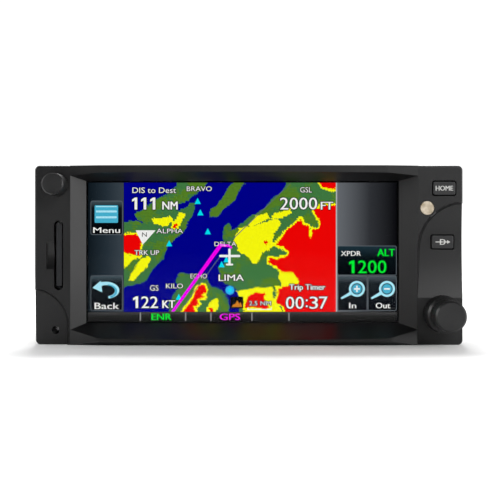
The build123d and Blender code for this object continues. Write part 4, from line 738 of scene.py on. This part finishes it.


# ---- printing on the keys, given a painted glow in place of lamp light
def keyPlace(node):
    low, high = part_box(node)
    mid = (low + high) / 2

    def place(u, v, lift):
        return Vector((mid.x + u / 1000, low.y - lift / 1000, mid.z + v / 1000))
    return place


# the key legends are white print made to glow on their own: painted light standing in for the lamps' light on
# them
keyPrintPaintedGlow = glowFinish("keyPrintPaintedGlow", (0.60, 0.60, 0.58), 1.0, 0.1)
homePrint = bmesh.new()
addWords(homePrint, "HOME", (-3.2, 3.2, -0.9, 0.9), keyPlace("home_key"), 0.03, -0.02,
         ((-0.06, 0), (0.06, 0)))
meshPiece("home_print", homePrint, keyPrintPaintedGlow, "home_button")
directPrint = bmesh.new()
directPlace = keyPlace("direct_key")
addWords(directPrint, "D", (-0.9, 1.1, -1.05, 1.05), directPlace, 0.03, -0.02, ((-0.08, 0), (0.08, 0)))
addSlab(directPrint, [(-2.6, -0.16), (1.9, -0.16), (1.9, 0.16), (-2.6, 0.16)], directPlace, 0.045, -0.02)
addSlab(directPrint, [(1.7, -0.7), (2.9, 0.0), (1.7, 0.7)], directPlace, 0.05, -0.02)
meshPiece("direct_print", directPrint, keyPrintPaintedGlow, "direct_button")


# ---- turned rings on an axis along Y
def turnedRing(mesh, centre, outline, steps=64):
    rings = []
    for radius, y in outline:
        rings.append([mesh.verts.new((centre.x + radius * cos(2 * pi * i / steps), y,
                                      centre.z + radius * sin(2 * pi * i / steps))) for i in range(steps)])
    for a, b in zip(rings, rings[1:] + rings[:1]):
        for i in range(steps):
            j = (i + 1) % steps
            mesh.faces.new((a[i], a[j], b[j], b[i]))
    bmesh.ops.recalc_face_normals(mesh, faces=mesh.faces)
    for face in mesh.faces:
        face.smooth = True


sensorRing = {"inner": 0.00272, "outer": 0.0036, "proud": 0.0003, "sunk": 0.0002, "deep": 0.001}
lensLow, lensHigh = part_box("photocell_lens")
lensMid = (lensLow + lensHigh) / 2
ringMesh = bmesh.new()
ringFace = lensLow.y + sensorRing["sunk"]
ringBack = ringFace + sensorRing["deep"]
turnedRing(ringMesh, lensMid, [
    (sensorRing["inner"], ringBack), (sensorRing["inner"], ringFace - sensorRing["proud"] * 0.6),
    ((sensorRing["inner"] + sensorRing["outer"]) / 2, ringFace - sensorRing["proud"]),
    (sensorRing["outer"], ringFace - sensorRing["proud"] * 0.3), (sensorRing["outer"], ringBack)])
meshPiece("sensor_ring", ringMesh, finishes["sensor_black"], "case")
print("key printing and sensor ring")


# ---- geometry nodes: copies of one small shape, turned to face along a stored direction
def scatterGroup(name):
    group = bpy.data.node_groups.new(name, "GeometryNodeTree")
    face = group.interface
    for label, kind in (("Geometry", "Geometry"), ("Shape", "Object"), ("Size", "Float"),
                        ("Turn Spread", "Float"), ("Seed", "Int"), ("Finish", "Material")):
        face.new_socket(label, in_out="INPUT", socket_type="NodeSocket" + kind)
    face.new_socket("Geometry", in_out="OUTPUT", socket_type="NodeSocketGeometry")
    build = group.nodes.new
    inlet, outlet = build("NodeGroupInput"), build("NodeGroupOutput")
    shape = build("GeometryNodeObjectInfo")
    direction = build("GeometryNodeInputNamedAttribute")
    direction.data_type = "FLOAT_VECTOR"
    direction.inputs["Name"].default_value = "outward"
    aim = build("FunctionNodeAlignRotationToVector")
    aim.axis = "Z"
    chance = build("FunctionNodeRandomValue")
    chance.data_type = "FLOAT"
    twist = build("FunctionNodeRotateRotation")
    twist.rotation_space = "LOCAL"
    spin = build("ShaderNodeCombineXYZ")
    turn = build("FunctionNodeEulerToRotation")
    copies = build("GeometryNodeInstanceOnPoints")
    solid = build("GeometryNodeRealizeInstances")
    paint = build("GeometryNodeSetMaterial")
    for source, given, target, taken in (
            (inlet, "Shape", shape, "Object"), (direction, "Attribute", aim, "Vector"),
            (inlet, "Turn Spread", chance, "Max"), (inlet, "Seed", chance, "Seed"),
            (chance, "Value", spin, "Z"), (spin, "Vector", turn, "Euler"),
            (aim, "Rotation", twist, "Rotation"), (turn, "Rotation", twist, "Rotate By"),
            (inlet, "Geometry", copies, "Points"), (shape, "Geometry", copies, "Instance"),
            (twist, "Rotation", copies, "Rotation"), (inlet, "Size", copies, "Scale"),
            (copies, "Instances", solid, "Geometry"), (solid, "Geometry", paint, "Geometry"),
            (inlet, "Finish", paint, "Material"), (paint, "Geometry", outlet, "Geometry")):
        group.links.new(source.outputs[given], target.inputs[taken])
    return group


scatter = scatterGroup("copiesFacingOut")


# points with outward directions in, one plain mesh of copies out
def copiesOf(name, shape, spots, values, material, body):
    shapeData = bpy.data.meshes.new(name + "_shape")
    shape.to_mesh(shapeData)
    shape.free()
    shapeObject = bpy.data.objects.new(name + "_shape", shapeData)
    scene.collection.objects.link(shapeObject)
    pointData = bpy.data.meshes.new(name + "_points")
    pointData.from_pydata([spot for spot, _ in spots], [], [])
    outward = pointData.attributes.new("outward", "FLOAT_VECTOR", "POINT")
    outward.data.foreach_set("vector", [c for _, way in spots for c in way])
    pointObject = bpy.data.objects.new(name + "_points", pointData)
    scene.collection.objects.link(pointObject)
    modifier = pointObject.modifiers.new("copies", "NODES")
    modifier.node_group = scatter
    sockets = {item.name: item.identifier for item in scatter.interface.items_tree if item.in_out == "INPUT"}
    modifier[sockets["Shape"]] = shapeObject
    modifier[sockets["Size"]] = values.get("size", 1.0)
    modifier[sockets["Turn Spread"]] = values.get("turnSpread", 0.0)
    modifier[sockets["Seed"]] = values.get("seed", 1)
    modifier[sockets["Finish"]] = material
    bpy.context.view_layer.update()
    data = bpy.data.meshes.new_from_object(pointObject.evaluated_get(bpy.context.evaluated_depsgraph_get()))
    data.name = name
    for spare in (pointObject, shapeObject):
        bpy.data.objects.remove(spare)
    piece = bpy.data.objects.new(name, data)
    scene.collection.objects.link(piece)
    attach(piece, body)
    return piece


# rings of points about Z; outline as (radius, z)
def ringsAboutZ(mesh, outline, steps):
    return [[mesh.verts.new((r * cos(2 * pi * i / steps), r * sin(2 * pi * i / steps), z))
             for i in range(steps)]
            for r, z in outline]


# screw along -Z with a cross recess; outline from the rim of its top face down
def crossScrew(outline, crossReach, crossWidth, crossDepth, steps=32, taper=0.72):
    mesh = bmesh.new()
    rings = ringsAboutZ(mesh, outline, steps)
    for a, b in zip(rings, rings[1:]):
        for i in range(steps):
            j = (i + 1) % steps
            mesh.faces.new((a[i], b[i], b[j], a[j])).smooth = True
    mesh.faces.new(rings[-1][::-1])
    w, r = crossWidth / 2, crossReach
    plan = [(w, w), (w, r), (-w, r), (-w, w), (-r, w), (-r, -w), (-w, -w), (-w, -r),
            (w, -r), (w, -w), (r, -w), (r, w)]
    topZ = outline[0][1]
    rim = [mesh.verts.new((x, y, topZ)) for x, y in plan]
    foot = [mesh.verts.new((x * taper, y * taper, topZ - crossDepth)) for x, y in plan]
    for i in range(len(plan)):
        j = (i + 1) % len(plan)
        mesh.faces.new((rim[i], rim[j], foot[j], foot[i]))
    mesh.faces.new(foot)
    border = [mesh.edges.get((rings[0][i], rings[0][(i + 1) % steps])) for i in range(steps)]
    border += [mesh.edges.get((rim[i], rim[(i + 1) % len(plan)])) for i in range(len(plan))]
    bmesh.ops.triangle_fill(mesh, edges=border, use_beauty=True)
    bmesh.ops.recalc_face_normals(mesh, faces=mesh.faces)
    return mesh


# flush case screws, replacing the plain ones
caseScrew = {"head": 0.00208, "shank": 0.0012, "length": 0.0035, "cross": 0.0012, "slot": 0.00042,
             "deep": 0.0008, "turnSpread": 6.2, "seed": 11}
screwRows = {"edge": 0.0021, "from": 0.034, "to": 0.220, "count": 4, "endHeights": (0.018, 0.048)}
caseLow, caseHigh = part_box("chassis_tub")
screwLow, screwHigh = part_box("case_screws")
rowTop = screwHigh.z - screwRows["edge"]
rowStart, rowEnd = caseLow.y + screwRows["from"], caseLow.y + screwRows["to"]
rowGaps = screwRows["count"] - 1
spots = []
for side in (-1, 1):
    x = side * caseHigh.x
    way = (side, 0, 0)
    spots += [((x, rowStart + (rowEnd - rowStart) * i / rowGaps, rowTop), way)
              for i in range(screwRows["count"])]
    spots += [((x, y, z), way)
              for y in (screwLow.y + screwRows["edge"], screwHigh.y - screwRows["edge"])
              for z in screwRows["endHeights"]]
countersunk = crossScrew([
    (caseScrew["head"], 0), (caseScrew["shank"], caseScrew["shank"] - caseScrew["head"]),
    (caseScrew["shank"], -caseScrew["length"])],
    caseScrew["cross"], caseScrew["slot"], caseScrew["deep"])
caseScrews = copiesOf("case_cross_screws", countersunk, spots, caseScrew, finishes["screw_steel"],
                      "case")
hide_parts("case_screws")

# fan screws with low round heads
fanScrew = {"head": 0.0023, "shank": 0.0012, "rise": 0.0013, "cross": 0.0013, "slot": 0.00045, "deep": 0.0008,
            "turnSpread": 6.2, "seed": 5}
fanLow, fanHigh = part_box("fan_screws")
spots = [((x, fanHigh.y, z), (0, 1, 0))
         for x in (fanLow.x + fanScrew["head"], fanHigh.x - fanScrew["head"])
         for z in (fanLow.z + fanScrew["head"], fanHigh.z - fanScrew["head"])]
panHead = crossScrew([
    (fanScrew["head"] * 0.72, 0), (fanScrew["head"] * 0.92, -fanScrew["rise"] * 0.25),
    (fanScrew["head"], -fanScrew["rise"] * 0.6), (fanScrew["head"], -fanScrew["rise"]),
    (fanScrew["shank"], -fanScrew["rise"]), (fanScrew["shank"], fanLow.y - fanHigh.y)],
    fanScrew["cross"], fanScrew["slot"], fanScrew["deep"])
fanScrews = copiesOf("fan_cross_screws", panHead, spots, fanScrew, finishes["screw_steel"],
                     "case")
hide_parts("fan_screws")
print("screws")


# ---- rear plugs: insulating inserts and rows of contacts
insertBlack = mouldedFinish("insertBlack", {
    "dark": (0.012, 0.012, 0.013), "light": (0.022, 0.022, 0.024), "rough": 0.42, "grain": 1400,
    "bump": 0.15})
contactGold = metalFinish("contactGold", {
    "dark": (0.62, 0.40, 0.12), "light": (0.78, 0.54, 0.2), "rough": 0.22,
    "stretch": (1, 30, 1), "streak": 60, "bump": 0.05})
ptfeWhite = mouldedFinish("ptfeWhite", {
    "dark": (0.62, 0.60, 0.55), "light": (0.74, 0.72, 0.67), "rough": 0.45, "grain": 900, "bump": 0.05})
contacts = {"rows": 3, "pitch": 0.0021, "rowPitch": 0.0019, "radius": 0.00042, "rise": 0.0018,
            "hollow": 0.003, "insert": 0.0006, "steps": 10}
plugShell = {"flanges": 0.0114, "walls": 0.0016, "endRoom": 0.0034, "gap": 0.0003, "halfHeight": 0.0031,
             "slant": 0.0011}
for node, label in (("main_connector", "main"), ("second_connector", "second")):
    low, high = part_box(node)
    mid = (low + high) / 2
    shellWide = high.x - low.x - plugShell["flanges"] - plugShell["walls"]
    count = int((shellWide - plugShell["endRoom"]) / contacts["pitch"])
    floorY = high.y - contacts["hollow"]
    insert = bmesh.new()
    half, tall, slant = shellWide / 2 - plugShell["gap"], plugShell["halfHeight"], plugShell["slant"]
    addSlab(insert, [(half, -tall), (-half, -tall), (-half + slant, tall), (half - slant, tall)],
            lambda u, v, depth: Vector((mid.x + u, floorY + depth, mid.z + v)), contacts["insert"], 0)
    meshPiece(label + "_plug_insert", insert, insertBlack, "case")
    pin = bmesh.new()
    steps = contacts["steps"]
    rings = ringsAboutZ(pin, ((contacts["radius"], 0), (contacts["radius"], contacts["rise"] * 0.8),
                              (contacts["radius"] * 0.5, contacts["rise"])), steps)
    for a, b in zip(rings, rings[1:]):
        for i in range(steps):
            j = (i + 1) % steps
            pin.faces.new((a[i], a[j], b[j], b[i])).smooth = True
    pin.faces.new(rings[0][::-1])
    pin.faces.new(rings[-1])
    spots = []
    for row in range(contacts["rows"]):
        shift = 0.5 if row % 2 else 0.0
        for i in range(count - (row % 2)):
            across = mid.x + (i + shift - (count - 1) / 2) * contacts["pitch"]
            spots.append(((across, floorY + contacts["insert"] * 0.9,
                           mid.z + (row - 1) * contacts["rowPitch"]), (0, 1, 0)))
    copiesOf(label + "_plug_contacts", pin, spots, contacts, contactGold, "case")

# aerial sockets: a white insulating ring round the centre pin
aerial = {"hollow": 0.007, "ringInner": 0.0012, "ringOuter": 0.0038, "ringLong": 0.003, "gap": 0.00005}
for node, label in (("gps_antenna_socket", "gps"), ("com_antenna_socket", "com")):
    low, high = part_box(node)
    mid = (low + high) / 2
    start = high.y - aerial["hollow"] + aerial["gap"]
    ringEnd = start + aerial["ringLong"]
    ring = bmesh.new()
    turnedRing(ring, mid, [(aerial["ringInner"], start), (aerial["ringInner"], ringEnd),
                           (aerial["ringOuter"], ringEnd), (aerial["ringOuter"], start)], 48)
    meshPiece(label + "_aerial_insulator", ring, ptfeWhite, "case")
print("plugs and sockets")

# ---- data plate: printed border and blank fields
plateLook = {"inset": 0.0012, "line": 0.0003, "fields": 4, "lift": 0.00004, "start": 0.0045,
             "ends": 0.008, "label": (0.004, 0.018), "value": (0.024, 0.054), "drop": 0.0024}
plateLow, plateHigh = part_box("data_plate")


def onPlate(u, v, lift):
    return Vector((plateHigh.x - u, plateHigh.y - v, plateHigh.z + lift))


platePrint = bmesh.new()
wide, deep = plateHigh.x - plateLow.x, plateHigh.y - plateLow.y
gap, line = plateLook["inset"], plateLook["line"]
bars = [(gap, wide - gap, gap, gap + line), (gap, wide - gap, deep - gap - line, deep - gap),
        (gap, gap + line, gap + line, deep - gap - line),
        (wide - gap - line, wide - gap, gap + line, deep - gap - line)]
for i in range(plateLook["fields"]):
    v = plateLook["start"] + i * (deep - plateLook["ends"]) / plateLook["fields"]
    rule = v + plateLook["drop"]
    bars += [(*plateLook["label"], v, v + line * 1.6), (*plateLook["value"], rule, rule + line * 0.7)]
for left, right, foot, top in bars:
    addSlab(platePrint, [(left, foot), (right, foot), (right, top), (left, top)], onPlate,
            plateLook["lift"], -0.0001)
bmesh.ops.recalc_face_normals(platePrint, faces=platePrint.faces)
meshPiece("data_plate_print", platePrint, insertBlack, "case")

# ---- ridges on the card's outer edge
grip = {"count": 9, "pitch": 0.0011, "rise": 0.00022, "width": 0.0005, "edge": 0.0002}
cardLow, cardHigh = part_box("data_card")
cardMid = (cardLow + cardHigh) / 2
ridge = bmesh.new()
halfThick = (cardHigh.x - cardLow.x) / 2 - grip["edge"]
addSlab(ridge, [(-halfThick, -grip["width"] / 2), (halfThick, -grip["width"] / 2),
                (halfThick, grip["width"] / 2), (-halfThick, grip["width"] / 2)],
        lambda u, v, depth: Vector((u, v, depth)), grip["rise"], -0.0001)
bmesh.ops.recalc_face_normals(ridge, faces=ridge.faces)
spots = [((cardMid.x, cardLow.y, cardMid.z + (i - (grip["count"] - 1) / 2) * grip["pitch"]), (0, -1, 0))
         for i in range(grip["count"])]
copiesOf("card_grip_ridges", ridge, spots, grip, finishes["card_plastic"], "data_card")
print("data plate and card ridges")

# ---- floor
floorMesh = bmesh.new()
addSlab(floorMesh, roundedOutline(-6, 6, -8, 1.2), lambda u, v, depth: Vector((u, v, depth)), 0.0, -0.05)
floorData = bpy.data.meshes.new("floor")
floorMesh.to_mesh(floorData)
floorMesh.free()
floor = bpy.data.objects.new("floor", floorData)
scene.collection.objects.link(floor)
floorData.materials.append(mouldedFinish("floorPaper", {
    "dark": (0.90, 0.90, 0.90), "light": (0.93, 0.93, 0.93), "rough": 0.8, "mottle": 3, "grain": 200,
    "bump": 0.02, "specular": 0.1}))
